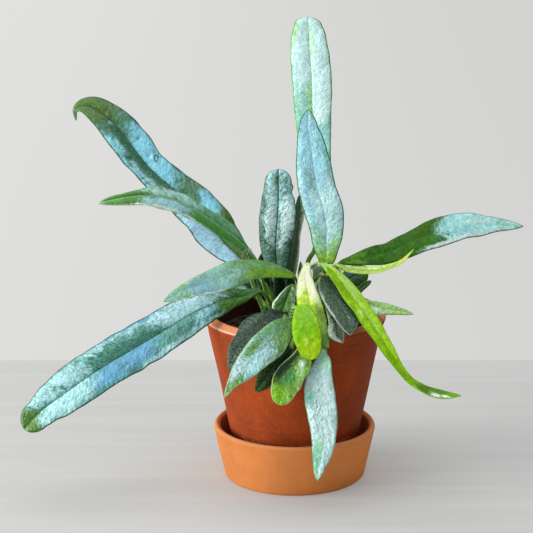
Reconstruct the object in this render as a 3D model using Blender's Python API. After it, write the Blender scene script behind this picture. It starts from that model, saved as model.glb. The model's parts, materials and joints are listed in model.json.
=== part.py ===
"""A blue oil fern in a terracotta pot that stands in a deep terracotta saucer.

Metres, +Z up, +X to the right and -Y towards the front. The origin is on the pot's axis, on the
surface that the saucer stands on. Constants that end in _MM are millimetres.
"""

import math

import bmesh
import bpy
import numpy as np
from mathutils import Vector

MM = 0.001
GAP_MM = 0.3  # clearance kept between pieces that touch

SAUCER_HEIGHT_MM = 39.0
SAUCER_FOOT_R_MM = 50.7
SAUCER_RIM_R_MM = 58.2
SAUCER_WALL_MM = 5.0
SAUCER_FLOOR_MM = 7.0
SAUCER_EDGE_MM = 1.5  # bevel round the foot
SAUCER_LIP_MM = 2.2  # height of the rounded lip
SAUCER_COVE_MM = 2.0  # bevel between the floor and the wall

POT_TOP_Z_MM = 122.7
POT_RIM_R_MM = 64.8
POT_FOOT_R_MM = 41.0
POT_WALL_MM = 6.4
POT_FLOOR_MM = 8.0
POT_EDGE_MM = 2.0
POT_LIP_MM = 2.4
POT_COVE_MM = 3.0
DRAIN_HOLE_R_MM = 8.0
POT_FOOT_Z_MM = SAUCER_FLOOR_MM + GAP_MM

SOIL_TOP_Z_MM = 108.0
SOIL_EDGE_DROP_MM = 1.5
SOIL_SIDE_GAP_MM = 0.4
SOIL_SHOULDER_MM = 8.0  # width of the sloping band at the pot's wall

RHIZOME_R_MM = 5.0
RHIZOME_END = 0.55  # radius at a stem's ends, as a share of its radius
RHIZOME_Z_MM = SOIL_TOP_Z_MM + GAP_MM + RHIZOME_R_MM
STUMP_R_MM = 1.8
STUMP_FLARE = (1.3, 1.2, 1.0)  # its radius from the stem up, as shares
STUMP_TOP_Z_MM = 119.5
FOOT_Z_MM = STUMP_TOP_Z_MM + GAP_MM

STIPE_R_MM = 1.25
STIPE_RISE_MM = 4.0  # a stipe leaves its stump straight up for this far
BLADE_THICKNESS_MM = 1.1
MARGIN_THICKNESS_MM = 0.6
TIP_HALF_WIDTH_MM = 0.5
STATION_MM = 11.0  # spacing of the cross-sections along a frond
SPAN_STEPS = 24  # fine steps between two rows of a frond's line
TIP_STATIONS = (0.15, 0.45)  # extra cross-sections this far from the tip, in stations
TURNED_SIDES = 64
SOIL_SIDES = 40
RHIZOME_SIDES = 8
STUMP_SIDES = 6
LIP_ANGLES = (0, 35, 65, 90, 115, 145, 180)
SHARP_ANGLE = 40.0

# Creeping stems on the soil: the plan points (x, y) of each, in millimetres.
RHIZOMES = [
    [(-25, -2), (-16, 1), (-8, 3), (0, 4), (9, 3), (17, 4), (25, 5)],
    [(-8, 3), (-7, -4), (-6, -12), (-4, -24)],
    [(9, 3), (8, -5), (8, -14), (6, -25)],
    [(-2, 4), (-3, 9), (-5, 16), (-7, 25)],
    [(6, 4), (7, 9), (9, 18)],
]

# Each frond: its foot (x, y) on the rhizome, the way its upper side looks at its broadest station,
# how far its halves are folded up (degrees), and the stations of its midrib from foot to tip, each
# (x, y, z, half width), in millimetres. A half width of 0 is bare stipe before the blade starts,
# and the tip after it.
FRONDS = {
    "frond_long_left": {
        "foot": (-16, -3), "face": (0.05, -0.75, 0.65), "fold": 10, "tip": 2,
        "line": [
            (-24, -10, 139, 1.8), (-39, -16, 137, 6), (-52, -22, 136, 10.5), (-74, -34, 129, 14.2),
            (-102, -48, 115, 16.5), (-135, -60, 98, 16.8), (-163, -68, 80, 15.4),
            (-178, -71, 69, 11.5), (-188, -72, 58, 0),
        ],
    },
    "frond_left_arching": {
        "foot": (-4, 0), "face": (0.1, -0.7, 0.7), "fold": 10,
        "line": [
            (1, -9, 138, 0), (0, -14, 150, 1.6), (-7, -18, 155, 4.5), (-18, -23, 159, 6.6),
            (-32, -30, 161, 8.6), (-46, -37, 159, 10.5), (-59, -44, 156, 9.6), (-73, -51, 153, 6.9),
            (-91, -59, 146, 0),
        ],
    },
    "frond_blue_left": {
        "foot": (-13, 5), "face": (0.25, -0.8, 0.55), "fold": 10,
        "line": [
            (-26, 12, 145, 1.6), (-34, 16, 152, 5.5), (-43, 21, 159, 11), (-55, 28, 170, 16),
            (-66, 35, 184, 16.7), (-89, 46, 203, 15.5), (-105, 53, 216, 14.4), (-119, 60, 231, 15.2),
            (-132, 66, 245, 13.1), (-144, 71, 253, 9.7), (-153, 73, 255, 5), (-159, 74, 249, 0),
        ],
    },
    "frond_green_left": {
        "foot": (-18, 3), "face": (0.15, -0.65, 0.75), "fold": 12,
        "line": [
            (-26, 2, 153, 1.5), (-32, 0, 165, 3.9), (-41, -2, 175, 7.7), (-53, -5, 185, 8.6),
            (-67, -8, 195, 8.9), (-81, -11, 203, 9.3), (-95, -14, 208, 9.3), (-109, -17, 210, 6.8),
            (-136, -21, 206, 0),
        ],
    },
    "frond_notched": {
        "foot": (-8, 6), "face": (0, -0.95, 0.3), "fold": 8, "tip": 2,
        "line": [
            (-10, 9, 133, 1.6), (-12, 11, 146, 6), (-14, 14, 165, 11), (-13, 17, 181, 13.3),
            (-12, 21, 198, 12.2), (-12, 24, 210, 9.8), (-12, 26, 220, 0),
        ],
    },
    "frond_edge_on": {
        "foot": (-3, 10), "face": (0.8, -0.6, 0.1), "fold": 10,
        "line": [
            (-3, 19, 134, 2), (-2, 22, 148, 6.5), (0, 26, 165, 8.3), (2, 29, 178, 8),
            (3, 31, 188, 6.4), (3, 33, 199, 0),
        ],
    },
    "frond_tall": {
        "foot": (5, 9), "face": (0, -0.95, 0.3), "fold": 8, "tip": 2,
        "line": [
            (9, 20, 151, 0), (14, 22, 161, 1.4), (17, 25, 174, 3), (17, 28, 189, 6.5),
            (16, 33, 210, 10), (14, 39, 235, 12.4), (13, 45, 261, 13.6), (12, 51, 283, 14.4),
            (10, 56, 304, 13.4), (9, 59, 317, 10.5), (9, 60, 324, 0),
        ],
    },
    "frond_front_upright": {
        "foot": (11, 2), "face": (-0.05, -0.95, 0.3), "fold": 8,
        "line": [
            (21, -6, 156, 1.6), (22, -6, 163, 6.8), (22, -5, 174, 10.4), (22, -4, 184, 12.2),
            (20, -3, 197, 13.9), (16, -1, 211, 13.9), (13, 1, 226, 12.8), (11, 3, 241, 10.4),
            (9, 5, 254, 7), (9, 7, 267, 0),
        ],
    },
    "frond_long_right": {
        "foot": (16, 3), "face": (-0.15, -0.75, 0.65), "fold": 10,
        "line": [
            (24, 0, 142, 0), (31, 0, 156, 1.6), (40, 4, 158, 4), (54, 9, 160, 8), (68, 14, 162, 9.7),
            (82, 19, 167, 10.8), (100, 25, 173, 12), (119, 30, 177, 11.3), (134, 34, 177, 9.3),
            (149, 38, 176, 5.4), (166, 41, 174, 0),
        ],
    },
    "frond_yellow_strip": {
        "foot": (11, -4), "face": (-0.1, -0.6, 0.8), "fold": 4,
        "line": [
            (19, -10, 145, 0), (27, -14, 159, 1.2), (36, -18, 158, 2.7), (46, -21, 158, 3.3),
            (56, -25, 159, 3.2), (66, -29, 163, 2.5), (74, -30, 167, 1.8), (82, -32, 176, 0),
        ],
    },
    "frond_long_bright": {
        "foot": (7, -1), "face": (0.45, -0.6, 0.65), "fold": 28,
        "line": [
            (8, -6, 145, 0), (10, -9, 155, 0), (14, -12, 160, 1.5), (19, -16, 161, 2.6),
            (24, -22, 159, 4.4), (31, -30, 153, 6.6), (38, -39, 145, 7.2), (51, -56, 131, 7.7),
            (64, -71, 114, 6.4), (76, -81, 99, 4.4), (84, -86, 94, 4.4), (92, -90, 91, 5.3),
            (101, -94, 90, 4.4), (111, -98, 91, 0),
        ],
    },
    "frond_dark_right": {
        "foot": (10, -9), "face": (0.35, -0.7, 0.6), "fold": 12,
        "line": [
            (15, -15, 143, 0), (19, -20, 153, 2.6), (23, -30, 148, 7.8), (29, -43, 141, 10.2),
            (34, -53, 135, 9.8), (36, -60, 130, 6.6), (37, -66, 124, 0),
        ],
    },
    "frond_small_right": {
        "foot": (10, -16), "face": (0.1, -0.8, 0.5), "fold": 20,
        "line": [
            (14, -26, 134, 0), (20, -38, 142, 1.5), (23, -49, 137, 2.4), (26, -57, 132, 3.5),
            (28, -64, 126, 3.7), (32, -68, 119, 0),
        ],
    },
    "frond_yellow_front": {
        "foot": (5, -12), "face": (0.1, -0.85, 0.5), "fold": 10,
        "line": [
            (7, -12, 145, 0), (9, -16, 161, 1.3), (7, -25, 156, 4.6), (8, -36, 148, 7.5),
            (10, -46, 140, 9), (13, -55, 132, 7.6), (17, -68, 123, 4.4), (23, -77, 114, 0),
        ],
    },
    "frond_lime_front": {
        "foot": (-2, -18), "face": (0.05, -0.9, 0.4), "fold": 8, "tip": 2,
        "line": [
            (-3, -31, 133, 0), (-3, -47, 138, 2), (0, -55, 141, 6.2), (3, -62, 137.5, 8.7),
            (6, -70, 129, 9.6), (8, -76, 119, 8.4), (10, -79, 110, 0),
        ],
    },
    "frond_dark_left": {
        "foot": (-9, -9), "face": (-0.3, -0.75, 0.6), "fold": 10,
        "line": [
            (-8, -21, 131, 1.6), (-13, -34, 131, 5.5), (-24, -47, 128, 10.6), (-33, -60, 122, 10),
            (-41, -67, 114, 7.3), (-46, -71, 100, 0),
        ],
    },
    "frond_glossy_front": {
        "foot": (-7, -17), "face": (-0.2, -0.85, 0.5), "fold": 10,
        "line": [
            (-5, -32, 127, 0), (-1, -46, 130, 2.4), (-10, -60, 127, 8.7), (-18, -70, 120, 11.6),
            (-27, -76, 113, 10.8), (-35, -80, 105, 8.8), (-43, -83, 96, 4.8), (-49, -85, 85, 0),
        ],
    },
    "frond_low_front": {
        "foot": (4, -20), "face": (-0.15, -0.9, 0.4), "fold": 10, "tip": 2,
        "line": [
            (6, -40, 127, 0), (7, -58, 128, 0), (7, -69, 122, 2.1), (2, -75, 110, 5.9),
            (-4, -79, 100, 9.9), (-8, -82, 91, 9.4), (-12, -85, 80, 0),
        ],
    },
    "frond_behind_front": {
        "foot": (-3, -22), "face": (-0.2, -0.85, 0.45), "fold": 10,
        "line": [
            (1, -42, 125, 0), (1, -58, 125.5, 0), (0, -64, 124.6, 0), (-3, -69, 118, 2.1),
            (-11, -71, 108, 7.1), (-19, -71, 97, 7.9), (-28, -69, 84, 0),
        ],
    },
    "frond_hanging": {
        "foot": (8, -22), "face": (0.05, -0.98, 0.15), "fold": 8,
        "line": [
            (17, -44, 127, 0), (23, -58, 125.4, 0), (22, -66, 122, 0), (18, -70, 113, 3.4),
            (18, -73, 107, 6), (16, -77, 97, 9.1), (16, -79, 85, 10.8), (18, -80, 71, 10.5),
            (19, -80, 57, 9), (18, -79, 42, 6.9), (16, -78, 32, 4), (15, -77, 22, 0),
        ],
    },
    "frond_low_right": {
        "foot": (20, 0), "face": (-0.05, -0.75, 0.65), "fold": 10,
        "line": [
            (29, -6, 136, 1.6), (37, -9, 134, 3.8), (44, -12, 132, 5.6), (53, -15, 130, 6.4),
            (63, -19, 129, 5), (74, -22, 128, 2.7), (83, -25, 127, 0),
        ],
    },
    "frond_right_behind": {
        "foot": (17, 8), "face": (-0.3, -0.85, 0.4), "fold": 10,
        "line": [
            (29, 14, 133, 2), (35, 18, 137, 5), (41, 22, 141, 6.8), (47, 26, 143, 7), (52, 29, 147, 0),
        ],
    },
    "frond_stub": {
        "foot": (23, 5), "face": (-0.3, -0.8, 0.5), "fold": 8, "tip": 2,
        "line": [(31, 9, 126, 0), (41, 12, 129, 1.8), (48, 15, 135, 2.7), (55, 19, 139, 0)],
    },
    "frond_folded": {
        "foot": (-3, -13), "face": (-0.5, -0.6, 0.6), "fold": 35,
        "line": [
            (-2, -16, 135, 0), (-1, -20, 145, 2.2), (-4, -26, 141, 6.8), (-9, -32, 138, 5.4),
            (-15, -37, 137, 0),
        ],
    },
    "frond_young_curl": {
        "foot": (-23, -1), "face": (0.6, -0.4, 0.6), "fold": 20,
        "line": [
            (-28, -6, 138, 0), (-33, -11, 154, 1.6), (-36, -10, 162, 2.8), (-35, -9, 168, 2.9),
            (-32, -10, 170, 2.6), (-31, -12, 166, 0),
        ],
    },
    "frond_sprout": {
        "foot": (1, 5), "face": (0, -0.9, 0.4), "fold": 20,
        "line": [(3, 7, 133, 0), (4, 8, 143, 1.8), (4, 9, 149, 2.1), (4, 10, 156, 0)],
    },
    "frond_back_left": {
        "foot": (-6, 14), "face": (-0.3, 0.4, 0.85), "fold": 10,
        "line": [
            (-12, 25, 132, 1.6), (-22, 39, 137, 6.5), (-31, 54, 135, 9), (-38, 68, 127, 8.4),
            (-43, 80, 115, 5), (-45, 87, 104, 0),
        ],
    },
    "frond_back_low": {
        "foot": (-6, 22), "face": (0, 0.4, 0.85), "fold": 10,
        "line": [
            (-6, 31, 129, 1.6), (-7, 43, 136, 6), (-8, 57, 135, 8.2), (-8, 69, 128, 7.4),
            (-7, 78, 117, 4.5), (-6, 83, 106, 0),
        ],
    },
    "frond_back_centre": {
        "foot": (9, 15), "face": (0.1, 0.5, 0.85), "fold": 10,
        "line": [
            (14, 26, 135, 1.6), (19, 40, 139, 6), (22, 57, 138, 9.5), (24, 73, 130, 10),
            (26, 86, 118, 8), (27, 93, 104, 4), (27, 95, 94, 0),
        ],
    },
    "frond_back_right": {
        "foot": (12, 11), "face": (0.3, 0.4, 0.85), "fold": 10,
        "line": [
            (21, 27, 131, 1.6), (31, 40, 135, 5), (40, 52, 134, 7), (49, 63, 127, 5.4),
            (55, 71, 116, 0),
        ],
    },
}


def clear_scene():
    for old in list(bpy.data.objects):
        bpy.data.objects.remove(old, do_unlink=True)


def material(name, colour, roughness):
    made = bpy.data.materials.new(name)
    made.use_nodes = True
    shader = made.node_tree.nodes["Principled BSDF"]
    shader.inputs["Base Color"].default_value = (*colour, 1)
    shader.inputs["Roughness"].default_value = roughness
    shader.inputs["Metallic"].default_value = 0.0
    made.diffuse_color = (*colour, 1)
    return made


def add_object(name, bm, finish):
    """Turns a bmesh in millimetres into a named object in metres."""
    bmesh.ops.recalc_face_normals(bm, faces=bm.faces)
    mesh = bpy.data.meshes.new(name)
    bmesh.ops.scale(bm, vec=(MM, MM, MM), verts=bm.verts)
    bm.to_mesh(mesh)
    bm.free()
    mesh.shade_smooth()
    mesh.set_sharp_from_angle(angle=math.radians(SHARP_ANGLE))
    mesh.materials.append(finish)
    made = bpy.data.objects.new(name, mesh)
    bpy.context.scene.collection.objects.link(made)
    return made


def turned(profile, sides=TURNED_SIDES):
    """A solid of revolution about Z from a closed outline of (radius, z) points off the axis or on it."""
    bm = bmesh.new()
    rings = []
    for radius, z in profile:
        if radius == 0:
            rings.append([bm.verts.new((0, 0, z))])
            continue
        angles = [2 * math.pi * i / sides for i in range(sides)]
        rings.append([bm.verts.new((radius * math.cos(a), radius * math.sin(a), z)) for a in angles])
    closed = all(radius > 0 for radius, _ in profile)
    pairs = list(zip(rings, rings[1:] + rings[:1])) if closed else list(zip(rings, rings[1:]))
    for low, high in pairs:
        for i in range(sides):
            j = (i + 1) % sides
            corners = [low[i % len(low)], low[j % len(low)], high[j % len(high)], high[i % len(high)]]
            bm.faces.new(list(dict.fromkeys(corners)))
    return bm


def lip_arc(inner_r, outer_r, top_z, side_drop):
    """Outline points of a rounded lip, from its outer side over the top to its inner side."""
    middle = (inner_r + outer_r) / 2
    half = (outer_r - inner_r) / 2
    angles = [math.radians(a) for a in LIP_ANGLES]
    return [(middle + half * math.cos(a), top_z - side_drop + side_drop * math.sin(a)) for a in angles]


def make_saucer(finish):
    inner_rim = SAUCER_RIM_R_MM - SAUCER_WALL_MM
    inner_floor = SAUCER_FOOT_R_MM - SAUCER_WALL_MM
    profile = [(0, 0), (SAUCER_FOOT_R_MM - SAUCER_EDGE_MM, 0), (SAUCER_FOOT_R_MM, SAUCER_EDGE_MM)]
    profile += lip_arc(inner_rim, SAUCER_RIM_R_MM, SAUCER_HEIGHT_MM, SAUCER_LIP_MM)
    profile += [(inner_floor, SAUCER_FLOOR_MM + SAUCER_COVE_MM)]
    profile += [(inner_floor - SAUCER_COVE_MM, SAUCER_FLOOR_MM)]
    profile += [(0, SAUCER_FLOOR_MM)]
    return add_object("saucer", turned(profile), finish)


def pot_outer_radius(z):
    along = (z - POT_FOOT_Z_MM) / (POT_TOP_Z_MM - POT_FOOT_Z_MM)
    return POT_FOOT_R_MM + along * (POT_RIM_R_MM - POT_FOOT_R_MM)


def pot_inner_radius(z):
    return pot_outer_radius(z) - POT_WALL_MM


def make_pot(finish):
    floor_z = POT_FOOT_Z_MM + POT_FLOOR_MM
    edge_z = POT_FOOT_Z_MM + POT_EDGE_MM
    cove_z = floor_z + POT_COVE_MM
    profile = [(DRAIN_HOLE_R_MM, POT_FOOT_Z_MM), (POT_FOOT_R_MM - POT_EDGE_MM, POT_FOOT_Z_MM)]
    profile += [(pot_outer_radius(edge_z), edge_z)]
    profile += lip_arc(POT_RIM_R_MM - POT_WALL_MM, POT_RIM_R_MM, POT_TOP_Z_MM, POT_LIP_MM)
    profile += [(pot_inner_radius(cove_z), cove_z)]
    profile += [(pot_inner_radius(floor_z) - POT_COVE_MM, floor_z)]
    profile += [(DRAIN_HOLE_R_MM, floor_z)]
    return add_object("pot", turned(profile), finish)


def make_soil(finish):
    bottom = POT_FOOT_Z_MM + POT_FLOOR_MM + GAP_MM
    edge_z = SOIL_TOP_Z_MM - SOIL_EDGE_DROP_MM
    cove_z = bottom + POT_COVE_MM
    profile = [(0, bottom), (pot_inner_radius(bottom) - POT_COVE_MM - SOIL_SIDE_GAP_MM, bottom)]
    profile += [(pot_inner_radius(cove_z) - SOIL_SIDE_GAP_MM, cove_z + GAP_MM)]
    profile += [(pot_inner_radius(edge_z) - SOIL_SIDE_GAP_MM, edge_z)]
    profile += [(pot_inner_radius(edge_z) - SOIL_SHOULDER_MM, SOIL_TOP_Z_MM), (0, SOIL_TOP_Z_MM)]
    return add_object("soil", turned(profile, SOIL_SIDES), finish)


def catmull_rom(points, per_span):
    """Points on a smooth curve through the given ones, per_span of them to each span."""
    rows = np.array(points, float)
    rows = np.vstack([2 * rows[0] - rows[1], rows, 2 * rows[-1] - rows[-2]])
    out = []
    for p0, p1, p2, p3 in zip(rows, rows[1:], rows[2:], rows[3:]):
        for t in np.arange(per_span) / per_span:
            bend = (2 * p0 - 5 * p1 + 4 * p2 - p3) * t**2 + (3 * p1 - 3 * p2 + p3 - p0) * t**3
            out.append(0.5 * (2 * p1 + (p2 - p0) * t + bend))
    out.append(rows[-2])
    return np.array(out)


def stations(line, spacing, tip):
    """The curve through the line's rows, read at even steps of about spacing along it.

    Past its last row with a width the blade closes as (1 - t^tip)^(1/tip): 1 is pointed, 2 is round.
    """
    fine = catmull_rom(line, SPAN_STEPS)
    run = np.linspace(0, 1, SPAN_STEPS + 1)
    fine[-SPAN_STEPS - 1 :, 3] = line[-2][3] * (1 - run**tip) ** (1 / tip)
    steps = np.linalg.norm(np.diff(fine[:, :3], axis=0), axis=1)
    along = np.concatenate([[0], np.cumsum(steps)])
    count = max(4, math.ceil(along[-1] / spacing))
    wanted = np.linspace(0, along[-1], count + 1)
    near_tip = [along[-1] - spacing * part for part in TIP_STATIONS]
    wanted = np.sort(np.append(wanted, near_tip))
    return np.stack([np.interp(wanted, along, column) for column in fine.T], axis=1)


def tangents(points):
    steps = np.gradient(points, axis=0)
    return steps / np.linalg.norm(steps, axis=1)[:, None]


def carried_faces(points, directions, face, start):
    """The upper side's direction at each station: face at start, carried both ways with no twist."""

    def square(vector, direction):
        vector = vector - direction * np.dot(vector, direction)
        return vector / np.linalg.norm(vector)

    faces = np.zeros_like(points)
    faces[start] = square(np.array(face, float), directions[start])
    for order in (range(start + 1, len(points)), range(start - 1, -1, -1)):
        last = start
        for i in order:
            faces[i] = square(faces[last], directions[i])
            last = i
    return faces


def ring(centre, side, up, half_width, fold, thickness, margin):
    """Six corners of a folded strip's cross-section, round from its left margin."""
    rise = up * math.tan(fold) * half_width
    left = centre - side * half_width + rise
    right = centre + side * half_width + rise
    return [
        left + up * margin / 2,
        centre + up * thickness / 2,
        right + up * margin / 2,
        right - up * margin / 2,
        centre - up * thickness / 2,
        left - up * margin / 2,
    ]


def frond_mesh(foot, face, fold, line, tip=1.4):
    rows = [(*foot, FOOT_Z_MM, 0), (*foot, FOOT_Z_MM + STIPE_RISE_MM, 0), *line]
    read = stations(rows, STATION_MM, tip)
    points = read[:, :3]
    widths = np.maximum(read[:, 3], 0)
    directions = tangents(points)
    directions[0] = (0, 0, 1)
    broadest = int(np.argmax(widths))
    faces = carried_faces(points, directions, face, broadest)
    bm = bmesh.new()
    rings = []
    for i, centre in enumerate(points):
        side = np.cross(directions[i], faces[i])
        blade = min(1.0, max(0.0, (widths[i] - STIPE_R_MM) / (2 * STIPE_R_MM)))
        if i > broadest:
            blade = 1.0
        half_width = max(widths[i], STIPE_R_MM if i < broadest else TIP_HALF_WIDTH_MM)
        thickness = blade * BLADE_THICKNESS_MM + (1 - blade) * 2 * STIPE_R_MM
        margin = blade * MARGIN_THICKNESS_MM + (1 - blade) * STIPE_R_MM
        angle = math.radians(fold) * blade
        corners = ring(centre, side, faces[i], half_width, angle, thickness, margin)
        rings.append([bm.verts.new(corner) for corner in corners])
    for low, high in zip(rings, rings[1:]):
        for k in range(6):
            m = (k + 1) % 6
            bm.faces.new((low[k], low[m], high[m], high[k]))
    for end in (rings[0], rings[-1]):
        bm.faces.new((end[0], end[1], end[4], end[5]))
        bm.faces.new((end[1], end[2], end[3], end[4]))
    return bm


def tube(path, radii, sides):
    """A closed round bar through the points of path, with a radius at each."""
    points = np.array(path, float)
    directions = tangents(points)
    bm = bmesh.new()
    rings = []
    for centre, direction, radius in zip(points, directions, radii):
        turn = Vector(direction).to_track_quat("Z", "Y")
        angles = [2 * math.pi * i / sides for i in range(sides)]
        corners = [Vector((radius * math.cos(a), radius * math.sin(a), 0)) for a in angles]
        rings.append([bm.verts.new(Vector(centre) + turn @ corner) for corner in corners])
    for low, high in zip(rings, rings[1:]):
        for k in range(sides):
            m = (k + 1) % sides
            bm.faces.new((low[k], low[m], high[m], high[k]))
    bm.faces.new(rings[0])
    bm.faces.new(rings[-1])
    return bm


def make_rhizome(finish):
    """The creeping stems with the short stumps that carry the fronds, joined into one solid."""
    others = bpy.data.collections.new("rhizome_pieces")
    bpy.context.scene.collection.children.link(others)
    base = None
    for number, plan in enumerate(RHIZOMES):
        path = catmull_rom([(x, y, RHIZOME_Z_MM) for x, y in plan], 2)
        radii = [RHIZOME_R_MM] * len(path)
        radii[0] = radii[-1] = RHIZOME_END * RHIZOME_R_MM
        stem = tube(path, radii, RHIZOME_SIDES)
        if number == 0:
            base = add_object("rhizome", stem, finish)
        else:
            hide_in(others, add_object(f"creeping_stem_{number}", stem, finish))
    for name, frond in FRONDS.items():
        x, y = frond["foot"]
        path = [(x, y, RHIZOME_Z_MM - 1), (x, y, RHIZOME_Z_MM + 3), (x, y, STUMP_TOP_Z_MM)]
        radii = [STUMP_R_MM * share for share in STUMP_FLARE]
        hide_in(others, add_object(f"stump_of_{name}", tube(path, radii, STUMP_SIDES), finish))
    union = base.modifiers.new("union", "BOOLEAN")
    union.operation = "UNION"
    union.operand_type = "COLLECTION"
    union.collection = others
    union.solver = "EXACT"
    return base


def hide_in(collection, helper):
    bpy.context.scene.collection.objects.unlink(helper)
    collection.objects.link(helper)
    helper.hide_render = True
    helper.display_type = "WIRE"


def make_fronds():
    green = material("frond_green", (0.10, 0.22, 0.13), 0.38)
    blue = material("frond_blue", (0.30, 0.52, 0.55), 0.35)
    lime = material("frond_lime", (0.38, 0.55, 0.08), 0.40)
    blue_ones = {"frond_long_left", "frond_blue_left", "frond_tall", "frond_front_upright", "frond_hanging"}
    lime_ones = {"frond_long_bright", "frond_yellow_front", "frond_lime_front", "frond_yellow_strip"}
    for name, frond in FRONDS.items():
        finish = blue if name in blue_ones else lime if name in lime_ones else green
        add_object(name, frond_mesh(**frond), finish)


def main():
    clear_scene()
    clay = material("terracotta", (0.46, 0.17, 0.08), 0.82)
    pale_clay = material("saucer_terracotta", (0.60, 0.24, 0.11), 0.80)
    make_saucer(pale_clay)
    make_pot(clay)
    make_soil(material("potting_mix", (0.05, 0.035, 0.025), 0.95))
    make_rhizome(material("rhizome_scales", (0.16, 0.09, 0.05), 0.90))
    make_fronds()


main()
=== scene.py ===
import json
import math
import random

import bmesh
import bpy
import numpy as np
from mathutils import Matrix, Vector, noise


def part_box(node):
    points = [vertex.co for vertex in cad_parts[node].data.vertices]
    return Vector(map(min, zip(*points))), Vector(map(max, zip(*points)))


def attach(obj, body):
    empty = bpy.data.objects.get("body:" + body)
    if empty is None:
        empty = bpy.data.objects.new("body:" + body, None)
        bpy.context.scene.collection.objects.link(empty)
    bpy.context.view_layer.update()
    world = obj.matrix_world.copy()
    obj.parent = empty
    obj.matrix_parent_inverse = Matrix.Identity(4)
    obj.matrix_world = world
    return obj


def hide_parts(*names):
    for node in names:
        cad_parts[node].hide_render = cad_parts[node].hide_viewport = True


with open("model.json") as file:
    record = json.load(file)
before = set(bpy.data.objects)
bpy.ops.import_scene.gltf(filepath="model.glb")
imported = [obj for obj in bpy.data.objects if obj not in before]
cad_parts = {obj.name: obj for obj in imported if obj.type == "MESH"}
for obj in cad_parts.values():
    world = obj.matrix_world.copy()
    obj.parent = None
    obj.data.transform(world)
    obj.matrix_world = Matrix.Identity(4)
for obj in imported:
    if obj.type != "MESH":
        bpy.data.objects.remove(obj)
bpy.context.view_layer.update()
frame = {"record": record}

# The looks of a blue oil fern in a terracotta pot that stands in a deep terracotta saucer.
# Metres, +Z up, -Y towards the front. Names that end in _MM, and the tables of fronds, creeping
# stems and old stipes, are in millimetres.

MM = 0.001

_, SAUCER_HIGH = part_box("saucer")
POT_LOW, POT_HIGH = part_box("pot")
SOIL_LOW, SOIL_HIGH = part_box("soil")
RHIZOME_LOW, RHIZOME_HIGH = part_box("rhizome")

# ---------------------------------------------------------------------------------------------
# Fronds. Each says where it differs from the usual one.
#
# foot: where it stands on the rhizome, (x, y). face: the way its upper side looks at its broadest
# station. fold: how far its halves are folded up, in degrees. tip: how blunt its tip is, 1 pointed,
# 2 round. line: the stations of its midrib from stipe to tip, (x, y, z, half width). The lines follow
# the CAD model's fronds, some with a stipe, a margin or a tip a few millimetres off them;
# frond_folded leaves its own by up to 10 mm, and frond_back_right ends 11 mm short of its own.
#
# Colours are sRGB, 0 to 255. green: the blade itself. deep, teal, blue, mint, frost: its
# coatings, mostly from dark to pale. They are partly the blade's own blue bloom and partly painted light:
# painted sheen and reflection in the blue and mint, painted highlights and glints in frost, and
# painted shade in some deep and teal patches where another frond or a turned-away half shades the blade.
# rib, rim, stipe, under: the midrib's line, the margins' line, the stipe and the underside; a pale rim is
# a painted highlight along the edge. rib_strength, rim_strength: how plainly those lines show.
#
# sheen: the strength of a thin clear coat. gloss: the shine of the skin under it. relief: how strongly
# the leathery grain shows in the colour, as painted shade in its hollows, painted light on its crests,
# pale threads of painted glint and dark pores. hammer: how deep the blade is dented all over. crease: how
# much of the fold is seen. groove: how deep the midrib's groove and the arch beside it are. emboss:
# how deep the fine bumps are. streaky: smaller for longer streaks. speckle: the strength of a pale
# scurf. feather: how ragged the coatings' borders are.
#
# patches: where the coatings lie, painted in this order, each (coating, strength, middle and half
# length along the frond in mm, middle and half height across it from -1 to 1). blisters: single
# swellings and dents, each (mm along, part across, reach in mm, height in mm). inset: where a margin
# runs inside the even outline, each (side, middle, half length, depth) in mm. shift: where the
# midrib lies to one side, each (middle, half length, offset) in mm.

USUAL = {
    "fold": 10, "tip": 1.4, "green": (70, 122, 44), "deep": (36, 76, 46), "teal": (92, 146, 118),
    "blue": (134, 190, 222), "mint": (184, 230, 220), "frost": (230, 246, 248), "rib": (54, 100, 64),
    "rim": (46, 92, 40), "stipe": (92, 138, 50), "under": (156, 192, 132),
    "sheen": 0.06, "gloss": 0.25, "relief": 0.7, "hammer": 1, "crease": 0.65, "groove": 1,
    "rib_strength": 0.8, "rim_strength": 0.8, "emboss": 0.7, "streaky": 0.26, "speckle": 0, "feather": 1,
    "patches": [], "blisters": [], "inset": [], "shift": [],
}

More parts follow.
